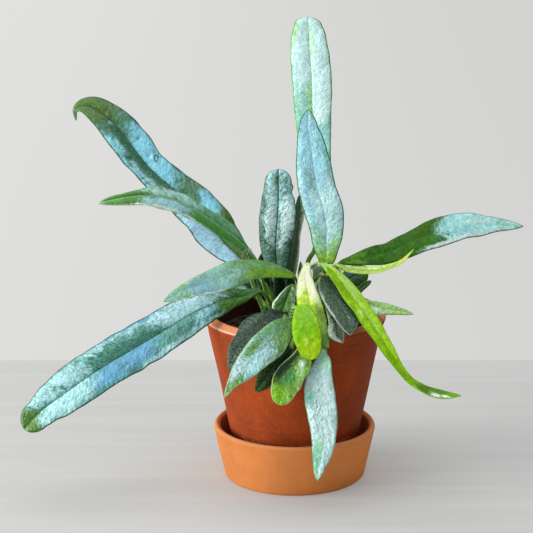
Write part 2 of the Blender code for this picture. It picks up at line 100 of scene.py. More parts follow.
FRONDS = {
    "frond_long_left": {
        "foot": (-16, -3), "face": (0.05, -0.75, 0.65), "tip": 2,
        "line": [
            (-24, -10, 139, 1.8), (-39, -16, 137, 6), (-52, -22, 136, 10.5), (-74, -34, 129, 14.2),
            (-102, -48, 115, 16.5), (-135, -60, 98, 16.8), (-163, -68, 80, 15.4), (-178, -71, 69, 11.5),
            (-188, -72, 58, 0),
        ],
        "green": (70, 116, 30), "deep": (68, 128, 110), "teal": (95, 158, 148), "blue": (98, 160, 194),
        "mint": (168, 218, 220), "frost": (190, 236, 255), "rib": (42, 92, 84), "rim": (24, 82, 36),
        "relief": 0.6, "groove": 0.6, "rib_strength": 0.5, "rim_strength": 1, "emboss": 0.6,
        "streaky": 0.34, "feather": 0.8,
        "patches": [
            # The first deep patch is painted shade: frond_left_arching's shadow over the upper half of the
            # base.
            ("deep", 0.4, 36, 16, 0.6, 0.5), ("teal", 1, 132, 72, 0, 1.2),
            ("frost", 1, 80, 24, 0.45, 0.5), ("mint", 0.9, 124, 34, 0.82, 0.2),
            ("blue", 0.8, 122, 26, 0.93, 0.12), ("deep", 1, 133, 27, 0.16, 0.22),
            ("deep", 0.4, 142, 18, 0.5, 0.25), ("deep", 0.7, 142, 4, 0.62, 0.12),
            ("mint", 1, 184, 21, 0.5, 0.52), ("blue", 0.8, 70, 10, -0.35, 0.4),
            ("mint", 0.6, 72, 8, -0.35, 0.3), ("deep", 0.4, 92, 11, -0.4, 0.25),
            ("mint", 1, 95, 32, -0.88, 0.14), ("blue", 1, 138, 26, -0.38, 0.44),
            ("deep", 0.7, 129, 6, -0.88, 0.12), ("mint", 1, 185, 22, -0.42, 0.5),
            # Near 181 mm a bright spot in a darker ring paints a water drop's glint as a painted highlight.
            ("deep", 0.8, 139, 2, -0.45, 0.1), ("frost", 1, 181, 2.5, 0.4, 0.15),
            ("deep", 0.8, 185, 1.5, 0.28, 0.24), ("deep", 0.5, 192, 10, 0.07, 0.06),
            ("green", 0.8, 216, 8, 0, 1.2),
        ],
        "blisters": [
            (139, -0.45, 1.6, -0.9), (146, -0.7, 1.3, -0.7), (183, 0.35, 2, 1), (186, 0.05, 1.6, -1),
            (184, -0.55, 1.5, -0.7), (176, 0.12, 1.4, 0.7), (128, -0.8, 2.4, -0.9), (151, 0.5, 1.4, 0.7),
            (140, 0.6, 2.2, -0.8),
        ],
        "inset": [(1, 205, 24, 1.2), (-1, 160, 60, 0.5), (1, 130, 60, 0.3), (-1, 197, 9, 1.2)],
    },
    "frond_left_arching": {
        "foot": (-4, 0), "face": (0.1, -0.7, 0.7),
        "line": [
            (1, -9, 138, 0), (0, -14, 150, 1.6), (-7, -18, 155, 4.5), (-18, -23, 159, 6.6),
            (-32, -30, 161, 8.6), (-46, -37, 159, 10.5), (-59, -44, 156, 9.6), (-73, -51, 153, 6.9),
            (-91, -59, 146, 0),
        ],
        "green": (107, 158, 46), "deep": (124, 176, 18), "teal": (76, 136, 72), "blue": (132, 186, 196),
        "mint": (138, 192, 176), "rib": (86, 142, 74), "rim": (120, 164, 112), "relief": 0.35,
        "crease": 0.1, "groove": 0.12, "rib_strength": 0, "rim_strength": 0.4, "emboss": 0.3,
        "feather": 0.6,
        "patches": [
            ("deep", 1, 46, 14, -0.5, 0.6), ("mint", 0.9, 98, 20, 0, 1.1), ("blue", 0.8, 112, 11, 0, 0.6),
            ("blue", 0.7, 106, 12, -0.75, 0.25), ("mint", 0.8, 132, 9, 0, 1),
            ("frost", 0.9, 118, 24, -0.93, 0.08), ("mint", 0.35, 62, 16, 0.5, 0.4),
            ("teal", 0.5, 80, 10, -0.9, 0.14),
        ],
        "inset": [(1, 112, 30, 1)],
    },
    "frond_blue_left": {
        "foot": (-13, 5), "face": (0.25, -0.8, 0.55),
        "line": [
            (-26, 12, 145, 1.6), (-34, 16, 152, 5.5), (-43, 21, 159, 11), (-55, 28, 170, 16),
            (-66, 35, 184, 16.7), (-89, 46, 203, 15.5), (-105, 53, 216, 14.4), (-119, 60, 231, 15.2),
            (-132, 66, 245, 13.3), (-144, 71, 254, 10.6), (-154, 73, 256.6, 6.6),
            (-159.9, 73.6, 253.4, 3), (-159.8, 74, 245.5, 0),
        ],
        "green": (80, 112, 50), "deep": (54, 108, 80), "teal": (84, 134, 108), "blue": (142, 218, 242),
        "mint": (136, 208, 218), "frost": (172, 216, 246), "rib": (26, 74, 54), "rim": (26, 84, 44),
        "relief": 0.6, "groove": 0.7, "rib_strength": 0.6, "rim_strength": 1, "emboss": 0.4,
        "feather": 0.55,
        "patches": [
            ("teal", 1, 140, 46, 0, 1.2), ("frost", 1, 76, 32, -0.6, 0.5), ("blue", 1, 93, 9, 0.5, 0.46),
            ("green", 0.35, 116, 12, 0.4, 0.7), ("blue", 1, 150, 25, 0.5, 0.56),
            ("mint", 0.5, 134, 5, 0.2, 0.2), ("deep", 0.9, 150, 42, 0.97, 0.06),
            ("deep", 1, 155, 33, -0.19, 0.2), ("frost", 0.6, 152, 30, -0.66, 0.15),
            ("mint", 0.9, 158, 34, -0.92, 0.1), ("mint", 0.6, 170, 10, -0.75, 0.2),
            # At 146 mm a bright spot in a deep ring paints a water drop's glint as a painted highlight.
            ("deep", 0.6, 160, 4, -0.62, 0.1), ("deep", 0.9, 146, 3.5, 0.62, 0.15),
            ("frost", 1, 145.5, 1.6, 0.62, 0.08), ("deep", 0.5, 166, 2, 0.45, 0.1),
            ("frost", 0.5, 188, 2.2, -0.1, 0.12),
        ],
        "blisters": [
            (147, 0.56, 2, 0.9), (151, 0.3, 1.3, -0.8), (160, -0.6, 1.6, 0.8), (166, 0.45, 1.3, -0.7),
            (193, 0, 2, 0.9), (178, -0.7, 1.4, 0.6),
        ],
        "inset": [(1, 120, 70, 0.6), (1, 140, 34, 1.6), (-1, 165, 40, 0.5)],
        "shift": [(135, 50, -1.6)],
    },
    "frond_green_left": {
        "foot": (-18, 3), "face": (0.15, -0.65, 0.75), "fold": 12,
        "line": [
            (-26, 2, 153, 1.5), (-32, 0, 165, 3.9), (-41, -2, 175, 7.7), (-53, -5, 185, 8.6),
            (-67, -8, 195, 8.9), (-81, -11, 203, 9.3), (-95, -14, 208, 9.3), (-109, -17, 210, 7.6),
            (-122, -19, 209, 5.8), (-137, -21, 206, 0),
        ],
        "green": (77, 131, 44), "deep": (66, 140, 50), "teal": (119, 180, 142), "blue": (161, 214, 218),
        "mint": (178, 228, 220), "frost": (222, 244, 236), "rib": (176, 224, 180), "rim": (132, 180, 132),
        "relief": 0.4, "rim_strength": 0.5, "emboss": 0.3, "feather": 0.6,
        "patches": [
            ("deep", 1, 72, 34, 0, 1.2), ("teal", 0.7, 84, 26, 0.45, 0.5),
            ("mint", 0.9, 118, 19, 0.5, 0.5), ("blue", 1, 122, 16, -0.5, 0.5),
            ("deep", 0.5, 96, 30, -0.1, 0.06), ("frost", 1, 122, 28, -0.92, 0.1),
            ("green", 0.7, 160, 14, 0, 1.2), ("deep", 0.4, 128, 8, 0.8, 0.15),
        ],
        "inset": [(1, 54, 16, 3.2), (1, 150, 20, 2.6), (1, 88, 30, 0.7)],
        "shift": [(114, 40, 1.3)],
    },
    "frond_notched": {
        "foot": (-8, 6), "face": (0, -0.95, 0.3), "fold": 8, "tip": 2,
        "line": [
            (-10, 9, 133, 1.6), (-12, 11, 146, 6), (-14, 14, 165, 11), (-13, 17, 181, 13.3),
            (-12, 21, 198, 12.2), (-12, 24, 210, 9.8), (-12, 26, 220, 0),
        ],
        "green": (115, 157, 90), "deep": (90, 130, 114), "teal": (118, 168, 166), "blue": (174, 222, 230),
        "mint": (216, 255, 255), "frost": (226, 255, 255), "rib": (44, 88, 74), "rim": (50, 84, 66),
        "relief": 0.8, "emboss": 0.8, "streaky": 0.4,
        "patches": [
            ("deep", 1, 38, 20, 0, 1.2), ("blue", 0.9, 81, 29, 0, 1.2), ("mint", 1, 68, 17, -0.36, 0.26),
            ("mint", 1, 66, 17, 0.5, 0.34), ("deep", 0.8, 58, 30, -0.88, 0.14),
            ("deep", 0.6, 50, 18, 0.12, 0.1), ("deep", 0.6, 60, 26, -0.9, 0.1),
            ("teal", 0.7, 92, 9, 0.1, 0.6), ("green", 0.6, 95, 7, -0.05, 0.25),
            ("deep", 0.5, 47, 6, 0.9, 0.12), ("green", 0.5, 92, 10, -0.9, 0.12),
        ],
        "inset": [(1, 86, 5, 2), (1, 49, 6, 1.8), (-1, 60, 30, 0.4), (-1, 88, 6, 0.6)],
    },
    "frond_edge_on": {
        "foot": (-3, 10), "face": (0.8, -0.6, 0.1),
        "line": [
            (-3, 19, 134, 2), (-2, 22, 148, 6.5), (0, 26, 165, 8.3), (2, 29, 178, 8), (3, 31, 188, 6.4),
            (3, 33, 199, 0),
        ],
        "green": (124, 154, 116), "deep": (56, 98, 66), "mint": (240, 255, 255), "frost": (240, 252, 250),
        "rib": (24, 46, 30),
        "patches": [
            ("deep", 1, 55, 34, -0.4, 0.7), ("mint", 0.8, 60, 30, 0.6, 0.26),
            ("frost", 1, 60, 30, 0.88, 0.14), ("deep", 0.6, 48, 14, 0.25, 0.2),
        ],
        "inset": [(1, 55, 30, 3)],
    },
    "frond_tall": {
        "foot": (5, 9), "face": (-0.09, -0.95, 0.3), "fold": 8, "tip": 2,
        "line": [
            (9, 20, 151, 0), (14, 22, 161, 1.4), (17, 25, 174, 3), (17, 28, 189, 6.5), (16, 33, 210, 10),
            (14, 39, 235, 12.4), (13, 45, 261, 13.6), (12, 51, 283, 14.4), (10, 56, 304, 13.4),
            (9, 59, 317, 10.5), (9, 60, 324, 0),
        ],
        "green": (176, 240, 114), "deep": (110, 180, 104), "teal": (178, 255, 255),
        "blue": (130, 200, 178), "mint": (209, 255, 254), "frost": (222, 255, 255),
        "rib": (150, 214, 150), "rim": (84, 158, 54), "relief": 0.35, "crease": 0.4, "groove": 0.5,
        "rib_strength": 0.4, "rim_strength": 1, "emboss": 0.4, "streaky": 0.5, "feather": 0.6,
        "patches": [
            ("blue", 1, 110, 36, 0, 1.2), ("teal", 1, 122, 12, 0.6, 0.5), ("mint", 1, 178, 42, 0.5, 0.6),
            ("mint", 1, 182, 40, -0.5, 0.6), ("blue", 0.6, 150, 18, -0.5, 0.6),
            ("green", 0.4, 154, 16, -0.14, 0.14), ("frost", 0.4, 160, 25, 0.5, 0.35),
            ("green", 0.35, 196, 9, 0.2, 0.2), ("deep", 0.4, 206, 4, 0.1, 0.06),
            ("green", 0.6, 204, 7, -0.85, 0.2),
        ],
        "inset": [(1, 130, 40, 0.6), (-1, 120, 30, 1.2), (-1, 206, 12, 0.8)],
        "shift": [(150, 30, -0.5), (206, 22, 0.8)],
    },
    "frond_front_upright": {
        "foot": (11, 2), "face": (-0.05, -0.95, 0.3), "fold": 8,
        "line": [
            (21, -6, 155, 1.6), (21, -6, 158.5, 4.4), (22, -6, 163, 6.8), (22, -5, 174, 10.2),
            (22, -4, 184, 12.2), (20, -3, 197, 13.9), (16, -1, 211, 13.9), (13, 1, 226, 12.8),
            (11, 3, 241, 10.4), (9, 5, 254, 7), (9, 7, 267, 0),
        ],
        "green": (161, 219, 64), "deep": (126, 176, 138), "teal": (156, 215, 166),
        "blue": (170, 230, 255), "mint": (200, 248, 255), "frost": (212, 244, 255),
        "rib": (206, 238, 250), "rim": (48, 112, 76), "relief": 0.5, "crease": 0.3, "groove": 0.3,
        "rib_strength": 0.25, "rim_strength": 1, "emboss": 0.5, "feather": 0.6,
        "patches": [
            ("teal", 0.8, 60, 9, -0.4, 0.7), ("teal", 0.6, 55, 5, 0.4, 0.6), ("blue", 1, 107, 47, 0, 1.2),
            ("mint", 1, 82, 20, 0.45, 0.5), ("mint", 0.8, 82, 15, -0.25, 0.25),
            ("deep", 0.5, 105, 9, -0.32, 0.26), ("deep", 0.5, 114, 12, 0.82, 0.1),
            ("mint", 0.8, 92, 26, -0.86, 0.13), ("teal", 0.25, 134, 14, 0.3, 0.6),
            ("frost", 0.7, 80, 30, 0.03, 0.05), ("teal", 0.5, 70, 6, -0.6, 0.3),
        ],
        "inset": [(1, 98, 22, 1.2)],
    },
    "frond_long_right": {
        "foot": (16, 3), "face": (-0.15, -0.75, 0.65),
        "line": [
            (24, 0, 142, 0), (31, 0, 156, 1.6), (40, 4, 158, 4), (54, 9, 160, 8), (68, 14, 162, 9.7),
            (82, 19, 167, 10.8), (100, 25, 173, 12), (119, 30, 177, 11.3), (134, 34, 177, 9.3),
            (149, 38, 176, 5.4), (166, 41, 174, 0),
        ],
        "green": (60, 114, 28), "deep": (64, 108, 18), "teal": (104, 164, 42), "blue": (152, 212, 216),
        "mint": (190, 254, 244), "frost": (226, 255, 255), "rib": (72, 122, 36), "rim": (36, 76, 24),
        "sheen": 0, "gloss": 0.08, "relief": 0.5, "crease": 0.1, "groove": 0.2, "rib_strength": 0.12,
        "emboss": 0.3, "feather": 0.6,
        "patches": [
            ("teal", 0.9, 48, 9, 0, 0.8), ("deep", 0.9, 110, 12, -0.1, 0.9), ("mint", 1, 158, 38, 0, 1.2),
            ("blue", 0.9, 137, 10, 0.3, 0.4), ("frost", 1, 140, 36, 0.86, 0.14),
            ("frost", 0.4, 150, 12, -0.2, 0.2), ("blue", 0.6, 131, 6, -0.4, 0.5),
            ("teal", 0.22, 172, 10, 0, 1),
        ],
        "inset": [(-1, 96, 46, 1.9), (1, 75, 40, 0.4)],
    },
    "frond_yellow_strip": {
        "foot": (11, -4), "face": (-0.1, -0.6, 0.8), "fold": 4,
        "line": [
            (19, -10, 145, 0), (27, -14, 159, 1.2), (36, -18, 158, 2.7), (46, -21, 158, 3.3),
            (56, -25, 159, 3.2), (66, -29, 163, 2.5), (74, -30, 167, 1.8), (82, -32, 176, 0),
        ],
        "green": (172, 200, 100), "deep": (98, 148, 22), "teal": (184, 216, 104), "frost": (204, 180, 84),
        "rib": (124, 172, 36), "rim": (166, 198, 80), "stipe": (158, 196, 84), "under": (170, 200, 110),
        "sheen": 0, "gloss": 0.15, "relief": 0.3, "hammer": 0.4, "groove": 0.4, "rib_strength": 0.4,
        "emboss": 0.3,
        "patches": [
            ("teal", 0.8, 66, 18, -0.6, 0.25), ("deep", 0.6, 74, 24, 0.1, 0.2),
            ("deep", 0.5, 80, 14, 0.8, 0.2), ("frost", 0.8, 92, 5, -0.9, 0.2),
            ("frost", 0.9, 98, 3, 0, 1),
        ],
    },
    "frond_long_bright": {
        "foot": (7, -1), "face": (0.45, -0.6, 0.65), "fold": 28,
        "line": [
            (8, -6, 145, 0), (10, -9, 155, 0), (14, -12, 160, 1.5), (19, -16, 161, 2.6),
            (24, -22, 159, 4.4), (31, -30, 153, 6.6), (38, -39, 145, 7.2), (51, -56, 131, 7.7),
            (64, -71, 114, 6.4), (76, -81, 99, 4.4), (84, -86, 94, 4.4), (92, -90, 91, 5.3),
            (101, -94, 90, 4.4), (111, -98, 91, 0),
        ],
        "green": (145, 202, 2), "deep": (81, 132, 12), "teal": (188, 248, 44), "mint": (196, 232, 150),
        "frost": (244, 252, 240), "rib": (104, 164, 16), "rim": (118, 170, 30), "stipe": (150, 184, 84),
        "under": (140, 184, 80), "sheen": 0, "gloss": 0.12, "relief": 0.3, "hammer": 0.5, "crease": 0.1,
        "groove": 0.12, "rib_strength": 0.08, "emboss": 0.3, "streaky": 0.6, "feather": 0.5,
        "patches": [
            ("mint", 1, 48, 8, 0, 1.1), ("teal", 0.8, 98, 50, -0.5, 0.6),
            ("mint", 0.4, 92, 30, -0.2, 0.25), ("mint", 0.5, 70, 16, -0.6, 0.3),
            ("teal", 0.6, 120, 14, 0.5, 0.3), ("teal", 0.9, 102, 4, 0.4, 0.3),
            ("frost", 0.7, 103, 1.5, 0.5, 0.12), ("deep", 1, 178, 14, 0, 1.2),
            ("frost", 1, 181, 3.5, 0.45, 0.4), ("frost", 0.9, 189, 2, 0.4, 0.35),
            ("deep", 0.6, 195, 4, 0, 1),
        ],
        "blisters": [(102, 0.4, 2.4, 1)],
        "inset": [(-1, 150, 34, 2), (-1, 84, 34, -1.6)],
    },
    "frond_dark_right": {
        "foot": (10, -9), "face": (0.35, -0.7, 0.6), "fold": 12,
        "line": [
            (15, -15, 143, 0), (19, -20, 153, 2.6), (23, -30, 148, 7.8), (29, -43, 141, 10.2),
            (34, -53, 135, 9.8), (36, -60, 130, 6.6), (37, -66, 124, 0),
        ],
        "green": (50, 76, 36), "deep": (64, 88, 61), "teal": (56, 73, 66), "mint": (126, 152, 130),
        "frost": (196, 214, 200), "rib": (40, 60, 50), "rim": (170, 190, 168), "sheen": 0, "gloss": 0.2,
        "relief": 1, "crease": 0.1, "groove": 0.2, "rib_strength": 0, "rim_strength": 0.55,
        "streaky": 0.6, "speckle": 0.7,
        "patches": [
            ("deep", 1, 70, 26, 0, 1.2), ("teal", 0.7, 66, 20, -0.2, 0.6),
            ("mint", 0.5, 80, 9, -0.12, 0.1), ("frost", 1, 64, 28, -0.95, 0.06),
            ("frost", 1, 76, 20, 0.94, 0.07),
        ],
        "inset": [(-1, 92, 7, 0.8)],
    },
    "frond_small_right": {
        "foot": (10, -16), "face": (0.1, -0.8, 0.5), "fold": 20,
        "line": [
            (14, -26, 134, 0), (20, -38, 142, 1.5), (23, -49, 137, 2.4), (26, -57, 132, 4),
            (28, -64, 126, 4.6), (32, -68, 119, 0),
        ],
        "green": (84, 112, 70), "deep": (40, 56, 38), "teal": (110, 136, 104), "mint": (170, 196, 172),
        "frost": (216, 228, 204), "rib": (50, 84, 50), "rim": (170, 190, 164), "relief": 1,
        "rib_strength": 0.4, "speckle": 0.5,
        "patches": [
            ("deep", 0.9, 52, 12, 0, 1), ("deep", 0.9, 64, 12, -0.5, 0.6), ("teal", 0.7, 58, 8, 0.6, 0.4),
            ("frost", 0.8, 70, 8, 0.6, 0.5), ("deep", 0.8, 68, 7, 0.2, 0.2),
        ],
        "inset": [(1, 69, 8, -2.8)],
    },
    "frond_yellow_front": {
        "foot": (5, -12), "face": (0.1, -0.85, 0.5),
        "line": [
            (7, -12, 145, 0), (9, -16, 161, 1.3), (7, -25, 156, 4.6), (8, -36, 148, 7.5),
            (10, -46, 140, 9), (13.4, -55.5, 132, 7.6), (17.2, -68, 124, 4.4), (22, -75, 118, 0),
        ],
        "green": (192, 228, 46), "deep": (68, 120, 2), "teal": (180, 226, 2), "mint": (248, 255, 204),
        "frost": (252, 255, 216), "rib": (196, 220, 100), "rim": (96, 140, 40), "stipe": (218, 230, 160),
        "under": (186, 208, 110), "relief": 0.3, "hammer": 0.5, "crease": 0.1, "groove": 0.15,
        "rib_strength": 0, "rim_strength": 0.6, "emboss": 0.3, "streaky": 0.6, "feather": 0.4,
        "patches": [
            ("mint", 1, 42, 18, 0, 1.2), ("mint", 0.8, 60, 9, 0.5, 0.6),
            ("mint", 0.9, 64, 15, -0.55, 0.65), ("frost", 0.7, 50, 16, -0.45, 0.5),
            ("teal", 0.9, 98, 16, 0, 1.2), ("deep", 0.7, 96, 14, -0.6, 0.4), ("deep", 1, 113, 9, 0, 1.2),
        ],
        "inset": [(-1, 70, 26, 0.9)],
    },
    "frond_lime_front": {
        "foot": (-2, -18), "face": (0.05, -0.9, 0.4), "fold": 8, "tip": 2,
        "line": [
            (1.9, -31, 131.5, 0), (-1.3, -46.5, 138, 2), (3.3, -55, 141, 5), (5.3, -62, 138, 7.7),
            (6.8, -70, 130, 9.8), (8.7, -76, 121, 8.9), (11, -79, 110.5, 0),
        ],
        "green": (139, 190, 0), "deep": (124, 188, 0), "teal": (182, 228, 28), "mint": (200, 226, 110),
        "frost": (224, 246, 110), "rib": (104, 180, 8), "rim": (92, 150, 10), "stipe": (150, 180, 110),
        "under": (140, 190, 70), "sheen": 0.05, "gloss": 0.2, "relief": 0.15, "hammer": 0.4,
        "crease": 0.1, "groove": 0.1, "rib_strength": 0, "emboss": 0.3, "streaky": 0.7, "feather": 0.35,
        "patches": [
            ("mint", 0.4, 42, 6, 0.3, 0.8), ("deep", 0.9, 60, 16, 0, 0.9),
            ("teal", 0.6, 68, 24, 0.95, 0.1), ("teal", 0.4, 70, 20, -0.9, 0.2),
            # The palest spot at 76 mm is a painted highlight on the blister.
            ("teal", 0.9, 87, 13, 0, 1.2), ("frost", 1, 76, 2.4, 0.1, 0.14),
        ],
        "blisters": [(76, 0.1, 2.2, 0.9)],
    },
    "frond_dark_left": {
        "foot": (-9, -9), "face": (-0.3, -0.75, 0.6),
        "line": [
            (-8, -21, 131, 1.6), (-13, -34, 131, 5.5), (-24, -47, 128, 10.6), (-33, -60, 122, 10),
            (-41, -67, 114, 7.3), (-46, -71, 100, 0),
        ],
        "green": (36, 56, 28), "deep": (25, 43, 28), "teal": (40, 58, 44), "mint": (108, 134, 116),
        "frost": (170, 190, 174), "rib": (40, 56, 44), "rim": (72, 98, 76), "sheen": 0, "gloss": 0.2,
        "relief": 1, "crease": 0.2, "groove": 0.3, "rib_strength": 0.1, "streaky": 0.6, "speckle": 0.6,
        "patches": [
            ("deep", 0.9, 56, 42, 0, 1.2), ("teal", 0.7, 60, 20, 0.4, 0.5),
            ("mint", 0.4, 52, 14, 0.5, 0.3),
        ],
        "inset": [(1, 76, 22, 1.2)],
    },
    "frond_glossy_front": {
        "foot": (-7, -17), "face": (-0.2, -0.85, 0.5),
        "line": [
            (-5, -32, 127, 0), (-1, -46, 130, 2.4), (-10, -60, 127, 8.7), (-18, -70, 120, 11.6),
            (-27, -76, 113, 10.8), (-35, -80, 105, 8.8), (-43, -83, 96, 4.8), (-49, -85, 85, 0),
        ],
        "green": (98, 146, 66), "teal": (102, 158, 116), "blue": (156, 200, 208), "mint": (156, 197, 190),
        "frost": (180, 210, 214), "rib": (150, 196, 170), "rim": (140, 184, 140), "relief": 0.5,
        "crease": 0.1, "groove": 0.12, "rib_strength": 0.05, "feather": 0.7,
        "patches": [
            ("teal", 0.9, 64, 12, 0.3, 0.8), ("blue", 1, 84, 15, -0.25, 0.6),
            ("blue", 0.9, 82, 14, 0.4, 0.5), ("mint", 0.6, 76, 9, -0.4, 0.4),
            ("frost", 0.6, 98, 6, 0.1, 0.2), ("mint", 0.9, 86, 16, 0.9, 0.08),
            ("green", 0.9, 80, 8, 0.52, 0.25), ("green", 0.6, 104, 7, -0.5, 0.25),
            ("frost", 0.9, 98, 9, 0.5, 0.4), ("green", 0.8, 113, 6, 0, 1),
            ("frost", 0.5, 82, 14, -0.93, 0.07),
        ],
        "inset": [(1, 108, 12, 0.8), (-1, 110, 10, 1.2), (1, 80, 24, 0.3)],
    },
    "frond_low_front": {
        "foot": (4, -20), "face": (-0.15, -0.9, 0.4), "tip": 2,
        "line": [
            (6, -40, 127, 0), (7, -58, 128, 0), (7, -69, 122, 2.1), (2, -75, 110, 5.9),
            (-4, -79, 100, 9.9), (-8, -82, 91, 9.4), (-12, -85, 80, 0),
        ],
        "green": (126, 174, 54), "deep": (4, 36, 17), "teal": (70, 134, 70), "blue": (118, 186, 8),
        "mint": (146, 196, 122), "frost": (226, 242, 226), "rib": (54, 112, 50), "rim": (150, 196, 110),
        "relief": 0.8, "crease": 0.25, "groove": 0.15, "rib_strength": 0.1,
        "patches": [
            ("deep", 1, 78, 14, 0.7, 0.5), ("mint", 0.7, 76, 8, -0.4, 0.4), ("teal", 0.9, 85, 7, 0, 0.4),
            ("blue", 1, 99, 7, 0.1, 0.6), ("mint", 0.5, 88, 8, -0.8, 0.2),
            ("frost", 0.6, 73, 3, -0.3, 0.2), ("frost", 0.8, 99, 8, -0.95, 0.06),
        ],
        "inset": [(-1, 72, 14, -3.4), (-1, 98, 12, 0.8)],
    },
    "frond_behind_front": {
        "foot": (-3, -22), "face": (-0.2, -0.85, 0.45),
        "line": [
            (1, -42, 125, 0), (1, -58, 125.5, 0), (0, -64, 124.6, 0), (-3, -69, 118, 2.1),
            (-11, -71, 108, 7.1), (-19, -71, 97, 7.9), (-28, -69, 84, 0),
        ],
        "green": (40, 62, 14), "deep": (3, 14, 2), "sheen": 0, "gloss": 0.1,
        "patches": [("deep", 0.8, 68, 20, -0.1, 1)],
    },
    "frond_hanging": {
        "foot": (8, -22), "face": (-0.1, -0.98, 0.17), "fold": 8,
        "line": [
            (17, -44, 127, 0), (23, -58, 125.4, 0), (22, -66, 122, 0), (18, -70, 113, 3.4),
            (18, -73, 107, 6), (16, -77, 97, 9.1), (16, -79, 85, 10.8), (18, -80, 71, 10.5),
            (19, -80, 57, 9), (18, -79, 42, 6.9), (16, -78, 32, 4), (15, -77, 22, 0),
        ],
        "green": (180, 240, 190), "deep": (98, 218, 184), "teal": (176, 244, 208),
        "blue": (194, 244, 255), "mint": (208, 255, 252), "frost": (220, 255, 255),
        "rib": (190, 230, 220), "rim": (96, 160, 104), "gloss": 0.4, "relief": 0.14, "hammer": 2.2,
        "crease": 0.1, "groove": 0.15, "rib_strength": 0, "rim_strength": 0.6, "emboss": 0.85,
        "streaky": 0.85,
        "patches": [
            ("mint", 1, 110, 42, 0, 1.2), ("teal", 0.8, 67, 6, 0, 1), ("green", 0.6, 64, 4, 0, 1),
            ("blue", 0.8, 78, 6, 0.5, 0.35), ("deep", 0.9, 96, 3.5, 0.65, 0.3),
            ("frost", 0.4, 105, 20, 0, 0.8), ("teal", 0.9, 138, 11, 0.2, 0.9),
            ("deep", 0.45, 144, 9, 0.7, 0.35), ("mint", 0.7, 151, 4, -0.3, 0.5),
        ],
        "inset": [(1, 110, 50, 0.2), (-1, 110, 50, 0.2)],
    },
    "frond_low_right": {
        "foot": (20, 0), "face": (-0.05, -0.75, 0.65),
        "line": [
            (29, -6, 136, 1.6), (37, -9, 134, 3.8), (44, -12, 132, 5.6), (53, -15, 130, 6.4),
            (63, -19, 129, 5), (74, -22, 128, 2.7), (83, -25, 127, 0),
        ],
        "green": (210, 252, 133), "deep": (108, 164, 92), "teal": (169, 222, 130),
        "mint": (205, 250, 196), "frost": (226, 244, 216), "rib": (136, 188, 116), "rim": (150, 196, 118),
        "relief": 0.6, "crease": 0.3, "groove": 0.3, "rib_strength": 0.2,
        "patches": [
            ("teal", 0.8, 58, 26, 0, 1.2), ("mint", 0.9, 50, 12, 0.3, 0.6),
            ("deep", 0.5, 46, 8, -0.5, 0.3), ("green", 0.8, 74, 8, 0.3, 0.8),
            ("frost", 0.6, 56, 20, -0.94, 0.06),
        ],
        "inset": [(-1, 42, 20, 2.4)],
    },
    "frond_right_behind": {
        "foot": (17, 8), "face": (-0.3, -0.85, 0.4),
        "line": [
            (29, 14, 133, 2), (35, 18, 137, 5), (41, 22, 141, 6.8), (47, 26, 143, 7), (52, 29, 147, 0),
        ],
        "green": (58, 94, 24), "deep": (50, 80, 52), "blue": (84, 128, 140), "sheen": 0, "gloss": 0.2,
        "patches": [
            ("deep", 0.7, 30, 14, 0, 1.2), ("blue", 0.9, 40, 8, -0.2, 0.7), ("green", 0.8, 52, 8, 0, 1.2),
        ],
        "inset": [(1, 38, 14, -1.8)],
    },
    "frond_stub": {
        "foot": (23, 5), "face": (-0.3, -0.8, 0.5), "fold": 8, "tip": 2,
        "line": [(31, 9, 126, 0), (41, 12, 129, 1.8), (48, 15, 135, 2.7), (55, 19, 139, 0)],
        "green": (74, 112, 10), "frost": (200, 214, 170), "sheen": 0, "gloss": 0.2,
        "patches": [("frost", 0.7, 36, 6, 0.92, 0.1)],
    },
    "frond_folded": {
        "foot": (-3, -13), "face": (-0.2, -0.9, 0.4), "tip": 4,
        "line": [
            (-2, -16, 135, 0), (-1.5, -21, 146, 1), (-3, -26, 147, 2.6), (-5, -30.5, 143.5, 5),
            (-7, -34, 139, 7), (-8.6, -36.5, 135, 8), (-9.2, -37.4, 132.6, 0),
        ],
        "green": (84, 130, 48), "deep": (46, 88, 32), "mint": (160, 206, 150), "frost": (226, 244, 214),
        "rim": (210, 224, 204), "relief": 1, "crease": 0.4, "rib_strength": 0.2, "rim_strength": 0.5,
        "patches": [
            ("deep", 0.8, 42, 9, 0.1, 0.8), ("deep", 0.6, 40, 10, -0.3, 0.3),
            ("mint", 0.35, 36, 7, -0.5, 0.3), ("frost", 0.5, 47, 5, -0.85, 0.2),
            ("frost", 0.9, 42, 14, 0.93, 0.09),
        ],
    },
    "frond_young_curl": {
        "foot": (-23, -1), "face": (0.6, -0.4, 0.6), "fold": 20,
        "line": [
            (-28, -6, 138, 0), (-33, -11, 154, 1.6), (-36, -10, 162, 2.8), (-35, -9, 168, 2.9),
            (-32, -10, 170, 2.6), (-31, -12, 166, 0),
        ],
        # Painted light: its colours are lighter than its own, making up for the little light that reaches
        # it.
        "green": (164, 206, 120), "mint": (246, 255, 236), "stipe": (150, 200, 104), "relief": 0.3,
        "groove": 0.4,
        "patches": [("mint", 0.8, 54, 6, 0, 0.9)],
    },
    "frond_sprout": {
        "foot": (1, 5), "face": (0, -0.9, 0.4), "fold": 20,
        "line": [(3, 7, 133, 0), (4, 8, 143, 1.8), (4, 9, 149, 2.1), (4, 10, 156, 0)],
        "green": (96, 150, 50), "stipe": (88, 140, 48),
    },
    "frond_back_left": {
        "foot": (-6, 14), "face": (-0.3, 0.4, 0.85),
        "line": [
            (-12, 25, 132, 1.6), (-22, 39, 137, 6.5), (-31, 54, 135, 9), (-38, 68, 127, 8.4),
            (-43, 80, 115, 5), (-45, 87, 104, 0),
        ],
        "patches": [
            ("teal", 0.8, 66, 26, 0, 1.2), ("blue", 0.9, 66, 18, 0.4, 0.5),
